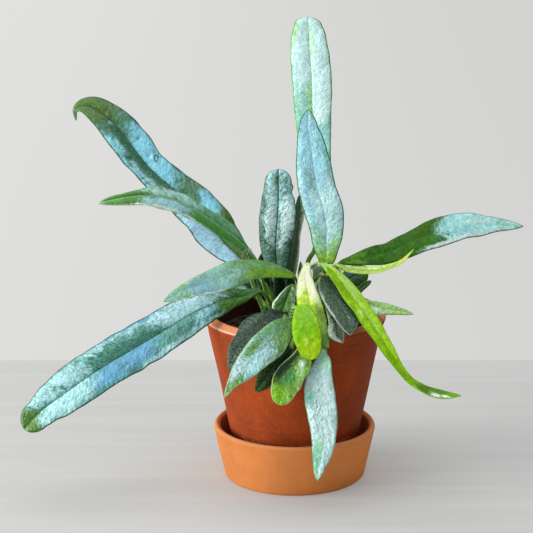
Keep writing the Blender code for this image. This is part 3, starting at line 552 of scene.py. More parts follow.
            ("mint", 0.8, 76, 12, -0.5, 0.4),
        ],
    },
    "frond_back_low": {
        "foot": (-6, 22), "face": (0, 0.4, 0.85),
        "line": [
            (-6, 31, 129, 1.6), (-7, 43, 136, 6), (-8, 57, 135, 8.2), (-8, 69, 128, 7.4),
            (-7, 78, 117, 4.5), (-6, 83, 106, 0),
        ],
        "patches": [
            ("teal", 0.8, 54, 20, 0, 1.2), ("mint", 0.7, 56, 14, -0.4, 0.5),
            ("deep", 0.6, 42, 10, 0.3, 0.4),
        ],
    },
    "frond_back_centre": {
        "foot": (9, 15), "face": (0.1, 0.5, 0.85),
        "line": [
            (14, 26, 135, 1.6), (19, 40, 139, 6), (22, 57, 138, 9.5), (24, 73, 130, 10), (26, 86, 118, 8),
            (27, 93, 104, 4), (27, 95, 94, 0),
        ],
        "green": (50, 92, 34),
        "patches": [
            ("teal", 0.9, 86, 30, 0, 1.2), ("blue", 1, 84, 18, 0.4, 0.5), ("mint", 1, 98, 16, -0.4, 0.5),
            ("frost", 0.6, 90, 10, 0.7, 0.2), ("deep", 0.7, 76, 12, -0.2, 0.2),
            ("deep", 0.7, 44, 16, 0, 1.2),
        ],
    },
    "frond_back_right": {
        "foot": (12, 11), "face": (0.3, 0.4, 0.85),
        "line": [
            (21, 27, 131, 1.6), (31, 40, 135, 5), (39, 51, 133, 6.5), (45, 59, 127, 4.6),
            (48, 64, 120, 0),
        ],
        "green": (50, 92, 34),
        "patches": [
            ("mint", 0.8, 66, 12, 0.3, 0.7), ("deep", 0.6, 46, 10, -0.4, 0.4),
            ("blue", 0.6, 66, 10, -0.6, 0.3),
        ],
    },
}

# Young fronds low among the stipes, too small to matter to the CAD model. Their dark colours are painted
# shade: dark blades that fill the shaded gaps among the stipes.
UNDERGROWTH = {
    "young_rear_blue": {
        "foot": (-21, 9), "face": (0.2, -0.8, 0.55), "fold": 8,
        "line": [
            (-25, 16, 126, 1.6), (-30, 21, 132, 7), (-37, 25, 137, 8), (-46, 29, 140, 6),
            (-54, 32, 140, 0),
        ],
        "green": (34, 70, 30), "deep": (16, 34, 16), "teal": (96, 132, 126), "mint": (150, 196, 176),
        "sheen": 0, "gloss": 0.2,
        "patches": [
            ("deep", 0.9, 20, 14, 0, 1.2), ("teal", 0.8, 40, 14, 0, 1), ("mint", 0.9, 34, 12, -0.7, 0.3),
        ],
    },
    "young_rear_left": {
        "foot": (-13, 12), "face": (-0.1, -0.9, 0.3), "fold": 8,
        "line": [
            (-15, 15, 126, 1.6), (-17, 16, 133, 8.5), (-19, 18, 143, 9), (-21, 20, 153, 6),
            (-22, 21, 161, 0),
        ],
        "green": (26, 54, 18), "deep": (10, 22, 8), "sheen": 0, "gloss": 0.1,
        "patches": [("deep", 0.9, 22, 20, 0.3, 0.9)],
    },
    "young_centre": {
        "foot": (-6, 4), "face": (0.05, -0.95, 0.25), "fold": 8,
        "line": [(-6, 3, 126, 2), (-7, 3, 133, 8), (-7, 4, 141, 8.5), (-8, 5, 147, 7), (-8, 6, 151, 0)],
        "green": (24, 50, 20), "deep": (10, 22, 10), "teal": (56, 84, 66), "sheen": 0, "gloss": 0.1,
        "patches": [("deep", 0.9, 24, 22, 0, 0.7), ("teal", 0.3, 24, 20, 0, 0.1)],
    },
    "young_right": {
        "foot": (12.7, 5.5), "face": (0, -0.85, 0.5),
        "line": [
            (14, 5, 136, 0), (17, 5, 142, 1.8), (20, 5, 146, 5), (25, 6, 148, 5.6), (30, 7, 148, 3.4),
            (34, 7, 147, 0),
        ],
        "green": (46, 84, 18), "deep": (20, 40, 12), "sheen": 0, "gloss": 0.2,
        "patches": [("deep", 0.8, 34, 10, 0.5, 0.6)],
    },
}

# The coatings are partly the blade's own blue bloom and partly painted sheen, highlights and shade.
COATINGS = ("deep", "teal", "blue", "mint", "frost")


# ---------------------------------------------------------------------------------------------
# Helpers


def srgb(colour):
    """An sRGB colour, 0 to 255, as the linear RGBA that shaders take."""
    linear = [c / 255 / 12.92 if c <= 10 else ((c / 255 + 0.055) / 1.055) ** 2.4 for c in colour]
    return (*linear, 1.0)


def shade_of(colour, factor):
    return tuple(min(255, c * factor) for c in colour)


def smoothstep(value, low, high):
    part = np.clip((value - low) / (high - low), 0, 1)
    return part * part * (3 - 2 * part)


def hump(along, middle, half):
    """A soft hump: 1 at middle, 0 from half away."""
    return 0.5 + 0.5 * np.cos(np.pi * np.clip((along - middle) / half, -1, 1))


def bell(distance, reach):
    """A soft peak: 1 at no distance, fading away past reach."""
    return np.exp(-((distance / reach) ** 2))


def unit_rows(vectors):
    return vectors / np.linalg.norm(vectors, axis=1)[:, None]


def noise_at(points, size, seed):
    """Smooth noise of about -1 to 1 at each point, with features of the given size."""
    shifted = (np.asarray(points) / size + seed).reshape(-1, 3)
    values = [noise.noise(Vector(p)) for p in shifted]
    return np.array(values).reshape(np.asarray(points).shape[:-1])


def roughened(values, points, layers):
    """The values with layers of noise added, each (strength, size, seed)."""
    for strength, size, seed in layers:
        values = values + strength * noise_at(points, size, seed)
    return values


def noise_along(line, size, row, layer):
    """Smooth noise at each distance along a line."""
    return np.array([noise.noise(Vector((distance / size, row, layer))) for distance in line])


def add_object(name, mesh, finish, *nodes, slot):
    """A finished piece on the frame's one body, standing for the CAD nodes given."""
    made = bpy.data.objects.new(name, mesh)
    bpy.context.scene.collection.objects.link(made)
    mesh.materials.append(finish)
    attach(made, "root")
    if nodes:
        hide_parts(*nodes)
    return made


def mesh_from(name, points, faces):
    """A smooth-shaded closed mesh, its faces turned outwards, from points in metres."""
    mesh = bpy.data.meshes.new(name)
    mesh.from_pydata(np.asarray(points).reshape(-1, 3).tolist(), [], [list(map(int, f)) for f in faces])
    bm = bmesh.new()
    bm.from_mesh(mesh)
    bmesh.ops.recalc_face_normals(bm, faces=bm.faces)
    bm.to_mesh(mesh)
    bm.free()
    mesh.shade_smooth()
    return mesh


def set_numbers(mesh, name, values):
    """A number at each point of the mesh, for its material to read."""
    made = mesh.attributes.new(name, "FLOAT", "POINT")
    made.data.foreach_set("value", np.asarray(values, np.float32).ravel())


def set_vectors(mesh, name, values):
    made = mesh.attributes.new(name, "FLOAT_VECTOR", "POINT")
    made.data.foreach_set("vector", np.asarray(values, np.float32).ravel())


def skin_faces(rings, size, closed=False):
    """Quads between rings of size points, the last joined to the first if closed, or else both capped."""
    first = np.arange(rings if closed else rings - 1)[:, None] * size
    step = np.arange(size)[None, :]
    following = (step + 1) % size
    above = (first + size) % (rings * size)
    quads = np.stack([first + step, first + following, above + following, above + step], axis=-1)
    faces = quads.reshape(-1, 4).tolist()
    if not closed:
        faces += [list(range(size)), list(range((rings - 1) * size, rings * size))]
    return faces


def turned(radius, z, angles):
    """Points about Z, from a radius and a height for each ring, or for each ring and angle."""
    places = np.broadcast_arrays(radius * np.cos(angles), radius * np.sin(angles), z)
    return np.stack(places, axis=-1)


def catmull_rom(points, per_span):
    """Points on a smooth curve through the given ones, per_span of them to each span."""
    rows = np.array(points, float)
    rows = np.vstack([2 * rows[0] - rows[1], rows, 2 * rows[-1] - rows[-2]])
    out = []
    for p0, p1, p2, p3 in zip(rows, rows[1:], rows[2:], rows[3:]):
        for t in np.arange(per_span) / per_span:
            bend = (2 * p0 - 5 * p1 + 4 * p2 - p3) * t**2 + (3 * p1 - 3 * p2 + p3 - p0) * t**3
            out.append(0.5 * (2 * p1 + (p2 - p0) * t + bend))
    out.append(rows[-2])
    return np.array(out)


# ---------------------------------------------------------------------------------------------
# Materials


class Graph:
    """Short names for adding and joining the nodes of one material or world."""

    def __init__(self, owner):
        owner.use_nodes = True
        self.owner = owner
        self.nodes = owner.node_tree.nodes
        self.links = owner.node_tree.links
        self.shader = self.nodes.get("Principled BSDF")

    def add(self, kind, **settings):
        made = self.nodes.new("ShaderNode" + kind)
        for key, value in settings.items():
            setattr(made, key, value)
        return made

    def put(self, socket, value):
        """Links an output to a socket, or sets the socket to a number or colour."""
        if isinstance(value, bpy.types.NodeSocket):
            self.links.new(value, socket)
        else:
            socket.default_value = value

    def put_all(self, node, values):
        for key, value in values.items():
            self.put(node.inputs[key], value)

    def math(self, operation, a, b=0.0):
        made = self.add("Math", operation=operation)
        self.put_all(made, {0: a, 1: b})
        return made.outputs[0]

    def add_up(self, first, *others):
        for other in others:
            first = self.math("ADD", first, other)
        return first

    def times(self, a, b):
        return self.math("MULTIPLY", a, b)

    def centred(self, value, gain=1.0):
        """A value of 0 to 1 moved to lie about 0, times gain."""
        return self.times(self.math("SUBTRACT", value, 0.5), gain)

    def step(self, value, low, high, to_low=0.0, to_high=1.0):
        """A smooth step from to_low to to_high as value goes from low to high."""
        made = self.add("MapRange", interpolation_type="SMOOTHSTEP")
        self.put_all(made, {"Value": value, "From Min": low, "From Max": high, "To Min": to_low,
                            "To Max": to_high})
        return made.outputs["Result"]

    def mix(self, factor, a, b, blend="MIX"):
        made = self.add("Mix", data_type="RGBA", blend_type=blend)
        self.put_all(made, {0: factor, 6: a, 7: b})
        return made.outputs[2]

    def two_tones(self, factor, colour, darker, lighter):
        """The colour, from the darker share of it to the lighter as factor goes from 0 to 1."""
        return self.mix(factor, srgb(shade_of(colour, darker)), srgb(shade_of(colour, lighter)))

    def scaled(self, colour, factor):
        made = self.add("VectorMath", operation="SCALE")
        self.put_all(made, {0: colour, "Scale": factor})
        return made.outputs[0]

    def noise(self, vector, scale, detail=3.0, roughness=0.55, distortion=0.0):
        made = self.add("TexNoise")
        self.put_all(made, {"Vector": vector, "Scale": scale, "Detail": detail, "Roughness": roughness,
                            "Distortion": distortion})
        return made.outputs["Fac"]

    def cells(self, vector, scale):
        """Distance to the nearest of scattered points."""
        made = self.add("TexVoronoi")
        self.put_all(made, {"Vector": vector, "Scale": scale})
        return made.outputs["Distance"]

    def stretched(self, vector, x, y, z):
        made = self.add("Mapping")
        self.put_all(made, {"Vector": vector, "Scale": (x, y, z)})
        return made.outputs["Vector"]

    def place(self):
        """The point's place on the object, in metres."""
        return self.add("TexCoord").outputs["Object"]

    def parts(self, vector):
        made = self.add("SeparateXYZ")
        self.put(made.inputs[0], vector)
        return made.outputs

    def attribute(self, name, output="Fac"):
        return self.add("Attribute", attribute_name=name).outputs[output]

    def bump(self, height, strength, distance):
        made = self.add("Bump")
        self.put_all(made, {"Height": height, "Strength": strength, "Distance": distance})
        return made.outputs["Normal"]

    def blend(self, factor, first, second):
        """A shader that goes from first to second as factor goes from 0 to 1."""
        made = self.add("MixShader")
        self.put_all(made, {"Fac": factor, 1: first.outputs[0], 2: second.outputs[0]})
        return made.outputs[0]

    def finish(self, colour, roughness, normal=None, **constants):
        """Joins the shader's main inputs, and sets the others to plain numbers."""
        self.put_all(self.shader, {"Base Color": colour, "Roughness": roughness})
        if normal is not None:
            self.put(self.shader.inputs["Normal"], normal)
        self.put_all(self.shader, {key.replace("_", " "): value for key, value in constants.items()})
        return self.owner


def material_graph(name):
    return Graph(bpy.data.materials.new(name))


# A blade's noises: size on the blade in features per millimetre.
STREAK_SCALE = 0.60
FINE_SCALE = 1.15
MOTTLE_SCALE = 0.22
WRINKLE_SCALE = 0.42
DIMPLE_SCALE = 0.40
PORE_SCALE = 0.9
SCURF_SCALE = 1.5

# Painted shade in the grain's hollows and painted light on its crests.
HOLLOW_SHADE_TINT = (158, 194, 186)
CREST_LIGHT = 0.18
# Pale threads of painted glint.
GLINT_THREAD_HALF = 0.022
GLINT_THREAD_STRENGTH = 0.55
PORE_STRENGTH = 0.35
EMBOSS_DEPTH = 0.0013


def leaf_noises(g, grain, streaky):
    """Streaks along the veins, a finer grain among them, and a slow mottle."""
    streak = g.noise(g.stretched(grain, 1.0, streaky, 1.0), STREAK_SCALE, detail=3.0, roughness=0.55)
    fine = g.noise(g.stretched(grain, 1.0, streaky**0.6, 1.0), FINE_SCALE, detail=2.0, roughness=0.5)
    mottle = g.noise(grain, MOTTLE_SCALE, detail=5.0, roughness=0.65, distortion=0.8)
    return streak, fine, mottle


def coated_green(g, look, streak, fine, mottle):
    """The blade's green under its coatings, whose borders the noises feather; the coatings are partly its
    blue bloom and partly painted sheen, highlights and shade.
    """
    unevenness = g.add_up(g.centred(streak, 1.5), g.centred(mottle, 0.8), g.centred(fine))
    unevenness = g.times(unevenness, look["feather"])
    colour = g.two_tones(g.step(mottle, 0.3, 0.7), look["green"], 0.84, 1.12)
    for coating in COATINGS:
        cover = g.attribute(coating)
        border = g.times(g.times(cover, g.math("SUBTRACT", 1.0, cover)), 4.0)
        cover = g.step(g.math("ADD", cover, g.times(border, unevenness)), 0.0, 1.0)
        tone = g.two_tones(g.step(mottle, 0.32, 0.68), look[coating], 0.92, 1.06)
        colour = g.mix(cover, colour, tone)
    return colour


def relief_light_and_shade(g, look, colour, streak, fine):
    """Painted shade that makes hollows darker and cooler, less so where the coating is smooth, and painted
    light that makes crests lighter.
    """
    relief = look["relief"]
    swell = g.math("ADD", g.times(streak, 0.5), g.times(fine, 0.5))
    smooth = g.step(g.math("ADD", g.attribute("blue"), g.attribute("frost")), 0.1, 0.9, 1.0, 0.45)
    hollow_shade = g.times(g.step(swell, 0.38, 0.52, relief, 0.0), smooth)
    colour = g.mix(hollow_shade, colour, g.mix(1.0, colour, srgb(HOLLOW_SHADE_TINT), "MULTIPLY"))
    return g.scaled(colour, g.step(swell, 0.50, 0.64, 1.0, 1.0 + CREST_LIGHT * relief))


def glint_threads_and_pores(g, look, colour, grain, mottle):
    """Pale threads of painted glint in the mint and the palest coating, dark pores, and on some fronds a
    pale scurf.
    """
    relief = look["relief"]
    wrinkle = g.noise(grain, WRINKLE_SCALE, detail=2.0, roughness=0.5, distortion=1.4)
    line = g.step(g.math("ABSOLUTE", g.math("SUBTRACT", wrinkle, 0.5)), 0.0, GLINT_THREAD_HALF, 1.0, 0.0)
    # Painted highlight: pale glint threads along the wrinkles where the mottle is high.
    glint_thread = g.times(line, g.step(mottle, 0.50, 0.62, 0.0, GLINT_THREAD_STRENGTH * relief))
    pale = g.step(g.math("ADD", g.attribute("mint"), g.attribute("frost")), 0.2, 0.9)
    colour = g.mix(g.times(glint_thread, pale), colour, srgb(look["frost"]))
    pores = g.step(g.cells(grain, PORE_SCALE), 0.08, 0.20, PORE_STRENGTH * relief, 0.0)
    colour = g.mix(pores, colour, srgb(shade_of(look["green"], 0.6)))
    if look["speckle"]:
        scurf = g.noise(grain, SCURF_SCALE, detail=3.0, roughness=0.6)
        colour = g.mix(g.step(scurf, 0.48, 0.64, 0.0, look["speckle"]), colour, srgb(look["mint"]))
    return colour


def rib_and_rim(g, look, colour, streak, from_rib, from_margin):
    """The midrib's line, and a ragged line along the margins: darker on most fronds, a painted highlight
    where the rim colour is pale.
    """
    rib = g.step(g.math("ABSOLUTE", from_rib), 0.15, 0.75, look["rib_strength"], 0.0)
    colour = g.mix(rib, colour, srgb(look["rib"]))
    ragged = g.math("ADD", from_margin, g.centred(streak, 0.7))
    return g.mix(g.step(ragged, 0.35, 1.25, look["rim_strength"], 0.0), colour, srgb(look["rim"]))


def underside(g, look, streak, mottle):
    """The plain underside, streaked darker."""
    under = g.two_tones(g.step(mottle, 0.35, 0.65), look["under"], 0.86, 1.08)
    return g.mix(g.step(streak, 0.4, 0.6, 0.0, 0.25), under, srgb(shade_of(look["under"], 0.7)))


def leaf_material(name, look):
    """A blade with a feathered coating of blue and mint over its green, part bloom and part painted sheen,
    highlight and shade, leathery and a little glossy.
    """
    g = material_graph(name)
    grain = g.attribute("grain", "Vector")
    from_rib, from_margin, stipe = g.parts(g.attribute("leaf_place", "Vector"))
    streak, fine, mottle = leaf_noises(g, grain, look["streaky"])

    colour = coated_green(g, look, streak, fine, mottle)
    colour = relief_light_and_shade(g, look, colour, streak, fine)
    colour = glint_threads_and_pores(g, look, colour, grain, mottle)
    colour = rib_and_rim(g, look, colour, streak, from_rib, from_margin)
    stem = g.two_tones(g.step(fine, 0.35, 0.65), look["stipe"], 0.82, 1.12)
    colour = g.mix(g.step(stipe, 0.3, 0.9), colour, stem)
    colour = g.mix(g.attribute("under"), colour, underside(g, look, streak, mottle))

    dullness = g.step(mottle, 0.3, 0.7, 0.30, 0.48)
    broad = g.stretched(grain, 1.0, 0.7, 1.0)
    dimples = g.noise(broad, DIMPLE_SCALE, detail=1.0, roughness=0.4, distortion=0.8)
    normal = g.bump(g.add_up(g.times(dimples, 1.3), g.times(streak, 0.25)), look["emboss"], EMBOSS_DEPTH)
    return g.finish(colour, dullness, normal, Coat_Weight=look["sheen"], Coat_Roughness=0.25,
                    Specular_IOR_Level=look["gloss"])


def sandy_clay(g, tone, cloud, rings, grain, place):
    """The clay's own colour: clouds, smears up its wall, faint turning rings and a pale grain."""
    smear = g.noise(g.stretched(place, 90.0, 90.0, 16.0), 1.0, detail=4.0, roughness=0.6)
    colour = g.two_tones(g.step(cloud, 0.32, 0.68), tone["clay"], *tone["cloud"])
    smeared = srgb(shade_of(tone["clay"], 0.72))
    colour = g.mix(g.step(smear, 0.50, 0.72, 0.0, tone["stain"]), colour, smeared)
    colour = g.mix(g.step(rings, 0.50, 0.75, 0.0, 0.03), colour, srgb(tone["pale"]))
    return g.mix(g.step(grain, 0.52, 0.78, 0.0, 0.42), colour, srgb(tone["pale"]))


def limed_and_shaded_inside(g, tone, colour, x, cloud, grain):
    """Lime along the rim and salts at the foot, ragged with the noises, and painted shade that darkens the
    clay inside.
    """
    line = g.times(g.attribute("lime"), g.step(x, -0.03, 0.03, 1.0, 0.2))
    ragged = g.add_up(line, g.attribute("salts"), g.centred(cloud, 1.2), g.centred(grain))
    colour = g.mix(g.times(g.step(ragged, 0.45, 0.85), 0.75), colour, srgb(tone["lime"]))
    inner_shade = g.step(g.math("ADD", g.attribute("inner_shade"), g.centred(cloud, 0.5)), 0.2, 0.9)
    return g.mix(g.times(inner_shade, 0.92), colour, srgb(tone["inner_shade"]))


def clay_material(name, tone):
    """Unglazed terracotta with specks of sand, a paler lip, lime under its rim and salts at its foot,
    painted shade inside and painted light and shade from side to side.
    """
    g = material_graph(name)
    place = g.place()
    x, _, _ = g.parts(place)
    cloud = g.noise(place, 26.0, detail=5.0, roughness=0.6)
    rings = g.noise(g.stretched(place, 9.0, 9.0, 330.0), 1.0, detail=4.0, roughness=0.6)
    grain = g.noise(place, 900.0, detail=4.0, roughness=0.75)
    sand = g.cells(place, 620.0)

    colour = sandy_clay(g, tone, cloud, rings, grain, place)
    colour = g.mix(g.step(sand, 0.08, 0.24, 0.42, 0.0), colour, srgb(tone["dark"]))
    colour = g.mix(g.times(g.attribute("edge"), 0.8), colour, srgb(tone["pale"]))
    # Painted light and shade: the tone scaled from the left side to the right, against the window's light.
    colour = g.scaled(colour, g.step(x, -0.05, 0.05, *tone["sides"]))
    colour = limed_and_shaded_inside(g, tone, colour, x, cloud, grain)

    roughness = g.step(cloud, 0.3, 0.7, 0.70, 0.88)
    relief = g.add_up(g.times(rings, 0.15), g.times(grain, 0.35), g.times(sand, 0.25))
    return g.finish(colour, roughness, g.bump(relief, 0.35, 0.0005), Specular_IOR_Level=0.15)


def soil_material():
    """Fine dark potting mix with paler crumbs."""
    g = material_graph("potting_mix_fine")
    place = g.place()
    lump = g.noise(place, 260.0, detail=6.0, roughness=0.7)
    colour = g.mix(g.step(lump, 0.35, 0.7), srgb((16, 13, 11)), srgb((52, 40, 30)))
    colour = g.mix(g.step(g.cells(place, 420.0), 0.05, 0.16, 0.5, 0.0), colour, srgb((84, 66, 50)))
    return g.finish(colour, 0.95, g.bump(lump, 0.8, 0.0008))


def bark_material(name, dark, light):
    """Dull fibres that run upright, in patches from dark to light."""
    g = material_graph(name)
    place = g.place()
    fibre = g.noise(g.stretched(place, 1.0, 1.0, 0.35), 700.0, detail=4.0, roughness=0.65)
    patch = g.noise(place, 110.0, detail=2.0)
    tone = g.step(g.math("ADD", g.times(fibre, 0.6), g.times(patch, 0.6)), 0.4, 0.8)
    colour = g.mix(tone, srgb(dark), srgb(light))
    return g.finish(colour, g.step(patch, 0.3, 0.7, 0.78, 0.94), g.bump(fibre, 0.6, 0.0004))


def old_stipe_material():
    """An olive stipe, streaked along its length, with a cream scar where its blade broke off."""
    g = material_graph("old_stipe_skin")
    place = g.place()
    streak = g.noise(g.stretched(place, 1.0, 1.0, 0.2), 900.0, detail=4.0)
    colour = g.mix(g.step(streak, 0.35, 0.65), srgb((58, 84, 22)), srgb((122, 148, 60)))
    scar = g.mix(g.step(streak, 0.4, 0.6), srgb((206, 184, 130)), srgb((244, 230, 186)))
    colour = g.mix(g.attribute("cut"), colour, scar)
    return g.finish(colour, 0.6, g.bump(streak, 0.4, 0.0003), Specular_IOR_Level=0.3)


# ---------------------------------------------------------------------------------------------
# Fronds

FOOT_Z_MM = (RHIZOME_HIGH.z + 0.0003) / MM
STIPE_RISE_MM = 4.0
SPAN_STEPS = 24
STATION_MM = 0.95
TIP_STATIONS_MM = (0.12, 0.35, 0.7)
TIP_HALF_MM = 0.3
COLUMNS_PER_MM = 0.85
SPARE_COLUMNS = 5
FEWEST_COLUMNS, MOST_COLUMNS = 7, 19
GROWN_MM = 3
STIPE_HALF_MM = 1.65
STIPE_THICK_MM = 2.1
BLADE_FROM_STIPES = 2.4
BLADE_THICK_MM = 0.7
VEIN_ANGLE = math.radians(48)
ARCH = 0.09
CURL = 0.05
WAVE = 0.05
WAVE_LENGTH_MM = 26.0
WAVE_DRIFT, WAVE_DRIFT_MM = 3, 40.0
HAMMER_MM = 0.18
RIB_GROOVE_MM, RIB_GROOVE_REACH_MM = 0.35, 0.55
RIB_RIDGE_MM, RIB_RIDGE_REACH_MM = 0.55, 0.8
MARGIN_RIPPLE, MARGIN_RIPPLE_MM = 0.03, 7.0
MOST_INSET = 0.6
FADE_MM = 12.0
FADE_ACROSS = 0.36
FADE_SHARE = 0.75
VEIN_SLANT = 0.7
RIB_FENCE = 0.03
BORDER_STRETCH = 12
UNDERGROWTH_SEED = 41.0

# Layers of noise, each (strength, size, seed).
DENTS = ((HAMMER_MM, 2.3, 0.0), (0.8 * HAMMER_MM, 5.5, 3.3))
BORDERS_ALONG = ((4.0, 9.0, 0.0), (1.6, 3.2, 8.0))
BORDERS_ACROSS = ((0.14, 8.0, 4.0), (0.07, 3.0, 6.0))


def stations(line, tip):
    """(x, y, z, half width) and the distance from the foot at even steps, closer together at the tip."""
    fine = catmull_rom(line, SPAN_STEPS)
    run = np.linspace(0, 1, SPAN_STEPS + 1)
    fine[-SPAN_STEPS - 1 :, 3] = line[-2][3] * (1 - run**tip) ** (1 / tip)
    steps = np.linalg.norm(np.diff(fine[:, :3], axis=0), axis=1)
    along = np.concatenate([[0], np.cumsum(steps)])
    even = np.linspace(0, along[-1], math.ceil(along[-1] / STATION_MM) + 1)
    wanted = np.sort(np.append(even, along[-1] - np.array(TIP_STATIONS_MM)))
    return np.stack([np.interp(wanted, along, column) for column in fine.T], axis=1), wanted


def carried_faces(directions, face, start):
    """The upper side's direction at each station: face at start, carried both ways with no twist."""
    faces = np.zeros_like(directions)

    def square(vector, direction):
        vector = vector - direction * np.dot(vector, direction)
        return vector / np.linalg.norm(vector)

    faces[start] = square(np.array(face, float), directions[start])
    for order in (range(start + 1, len(directions)), range(start - 1, -1, -1)):
        last = start
        for i in order:
            faces[i] = square(faces[last], directions[i])
            last = i
    return faces


def columns_across(broadest_mm):
    """Places across a blade from -1 to 1, close together at the midrib and the margins."""
    wanted = round(broadest_mm * COLUMNS_PER_MM) + SPARE_COLUMNS
    half = int(np.clip(wanted, FEWEST_COLUMNS, MOST_COLUMNS))
    right = (1 - np.cos(np.pi * np.arange(half + 1) / half)) / 2
    return np.concatenate([-right[:0:-1], right])


def there_and_back(over, under):
    """Rings that run across the blade on its upper side, and back on its underside."""
    return np.concatenate([over, under[:, -2:0:-1]], axis=1)


class Blade:
    """A frond on a grid: a row for each station from foot to tip, a column for each place across it."""

    def __init__(self, frond, seed):
        foot = frond["foot"]
        rows = [(*foot, FOOT_Z_MM, 0), (*foot, FOOT_Z_MM + STIPE_RISE_MM, 0), *frond["line"]]
        read, along = stations(rows, frond["tip"])
        drawn = read[:, 3]
        broadest = int(np.argmax(drawn))
        past = np.arange(len(along)) > broadest
        width = np.maximum(drawn, np.where(past, TIP_HALF_MM, STIPE_HALF_MM))
        broadening = smoothstep(drawn, STIPE_HALF_MM, BLADE_FROM_STIPES * STIPE_HALF_MM)
        share = np.where(past, 1.0, broadening)
        directions = unit_rows(np.gradient(read[:, :3], axis=0))
        directions[0] = (0, 0, 1)
        up = carried_faces(directions, frond["face"], broadest)

        self.frond = frond
        self.seed = seed
        self.midrib = read[:, None, :3]
        self.up = up[:, None]
        self.side = np.cross(directions, up)[:, None]
        self.along = along[:, None]
        self.width = width[:, None]
        self.share = share[:, None]
        self.grown = self.share * np.minimum(1, self.width / GROWN_MM)
        # part: from -1 at the left margin to 1 at the right. outward: from 0 at the midrib to 1.
        self.part = columns_across(width.max())[None, :]
        self.outward = np.abs(self.part)
        self.fold = frond["crease"] * math.tan(math.radians(frond["fold"]))
        self.set_margins(along, width, share)

    def set_margins(self, along, width, share):
        """Each point's distance across from the even midline, and from the midrib, which may shift."""
        left, right = width.copy(), width.copy()
        for side, middle, half, depth in self.frond["inset"]:
            margin = right if side > 0 else left
            margin -= np.minimum(depth * hump(along, middle, half), MOST_INSET * margin)
        for margin, row in ((left, 0.0), (right, 40.0)):
            margin *= 1 + MARGIN_RIPPLE * noise_along(along, MARGIN_RIPPLE_MM, row + self.seed, 0) * share
        offset = 0 * self.along
        for middle, half, depth in self.frond["shift"]:
            offset += depth * hump(self.along, middle, half)
        self.local = np.where(self.part < 0, left[:, None] + offset, right[:, None] - offset)
        self.from_rib = self.part * self.local
        self.across = offset + self.from_rib

    def wave(self):
        """The slow up and down of the margins, out of step left and right."""
        phase = np.where(self.part < 0, 1.7, 4.1) + self.seed
        drift = noise_along(self.along[:, 0], WAVE_DRIFT_MM, self.seed, 9)[:, None] * WAVE_DRIFT
        swing = np.sin(2 * np.pi * self.along / WAVE_LENGTH_MM + phase + drift)
        return WAVE * self.width * self.outward**2 * swing * self.grown

    def hammering(self):
        """Small dents all over, flat at the margins."""
        layer = np.full(self.across.shape, self.seed * 7.0)
        surface = np.stack([self.along + 0 * self.across, self.across, layer], axis=-1)
        dents = roughened(0, surface, DENTS)
        return self.frond["hammer"] * dents * np.minimum(1, 3 * (1 - self.outward)) * self.grown

    def blisters(self):
        """Single round swellings and dents."""
        total = 0 * self.across
        for at, part, reach, tall in self.frond["blisters"]:
            far = (self.along - at) ** 2 + (self.across - part * self.width) ** 2
            total += tall * np.exp(-far / reach**2)
        return total

    def height(self):
        """How far the blade stands off its plane: fold, arch, curled margins, waves and dents."""
        rise = self.fold * np.abs(self.across) * self.share
        arch = ARCH * self.frond["groove"] * self.width * np.sin(np.pi * self.outward**0.85) * self.grown
        curl = -CURL * self.width * self.outward**6 * self.grown
        return rise + arch + curl + self.wave() + self.hammering() + self.blisters()

    def rings(self):
        """Rings of points in millimetres round the blade, with the midrib's groove above and ridge below."""
        height = self.height()
        groove = RIB_GROOVE_MM * self.frond["groove"] * bell(self.from_rib, RIB_GROOVE_REACH_MM)
        ridge = RIB_RIDGE_MM * bell(self.from_rib, RIB_RIDGE_REACH_MM)
        flat = self.share * BLADE_THICK_MM * np.sqrt(np.clip(1 - self.outward**5, 0, 1))
        thick = flat + (1 - self.share) * STIPE_THICK_MM * np.sqrt(np.clip(1 - self.outward**2, 0, 1))
        middle = self.midrib + self.side * self.across[..., None]
        over = middle + self.up * (height - groove * self.grown + thick / 2)[..., None]
        under = middle + self.up * (height - ridge * self.grown - thick / 2)[..., None]
        return there_and_back(over, under)

    def coating_shares(self):
        """How much of the colour at each point is each coating's, painted in the patches' order.

        A patch off the midrib stays on its own side, and its ends slant with the veins.
        """
        along, part = self.along + 0 * self.across, self.part + 0 * self.across
        points = np.stack([along, BORDER_STRETCH * part, np.full_like(along, self.seed * 5.0)], axis=-1)
        along = roughened(along, points, BORDERS_ALONG)
        ragged = roughened(0, points, BORDERS_ACROSS)
        shares = {"green": np.ones(part.shape)} | {coating: np.zeros(part.shape) for coating in COATINGS}
        for coating, strength, middle, half_length, centre, half_height in self.frond["patches"]:
            fade = min(FADE_MM, FADE_SHARE * half_length)
            fade_across = min(FADE_ACROSS, FADE_SHARE * half_height)
            slant = VEIN_SLANT * (self.outward - abs(centre)) * self.width
            cover = 1 - smoothstep((np.abs(along - slant - middle) - half_length) / fade, -1, 1)
            cover *= 1 - smoothstep((np.abs(part + ragged - centre) - half_height) / fade_across, -1, 1)
            if centre:
                cover *= smoothstep(part * math.copysign(1, centre), -RIB_FENCE, RIB_FENCE)
            for share in shares.values():
                share *= 1 - strength * cover
            shares[coating] += strength * cover
        return shares

    def grain(self):
        """Each point's place along and across the veins, which leave the midrib at an angle."""
        beyond = np.abs(self.from_rib)
        across_veins = self.along * math.sin(VEIN_ANGLE) - beyond * math.cos(VEIN_ANGLE)
        along_veins = self.along * math.cos(VEIN_ANGLE) + beyond * math.sin(VEIN_ANGLE)
        layer = np.where(self.part < 0, 31.0, 57.0) + self.seed * 11.0 + 0 * beyond
        return np.stack([across_veins, along_veins, layer], axis=-1)

    def leaf_place(self):
        """Distance from the midrib, distance from the margin, and 1 on the bare stipe."""
        bare = 1 - self.share + 0 * self.across
        return np.stack([self.from_rib, (1 - self.outward) * self.local, bare], axis=-1)


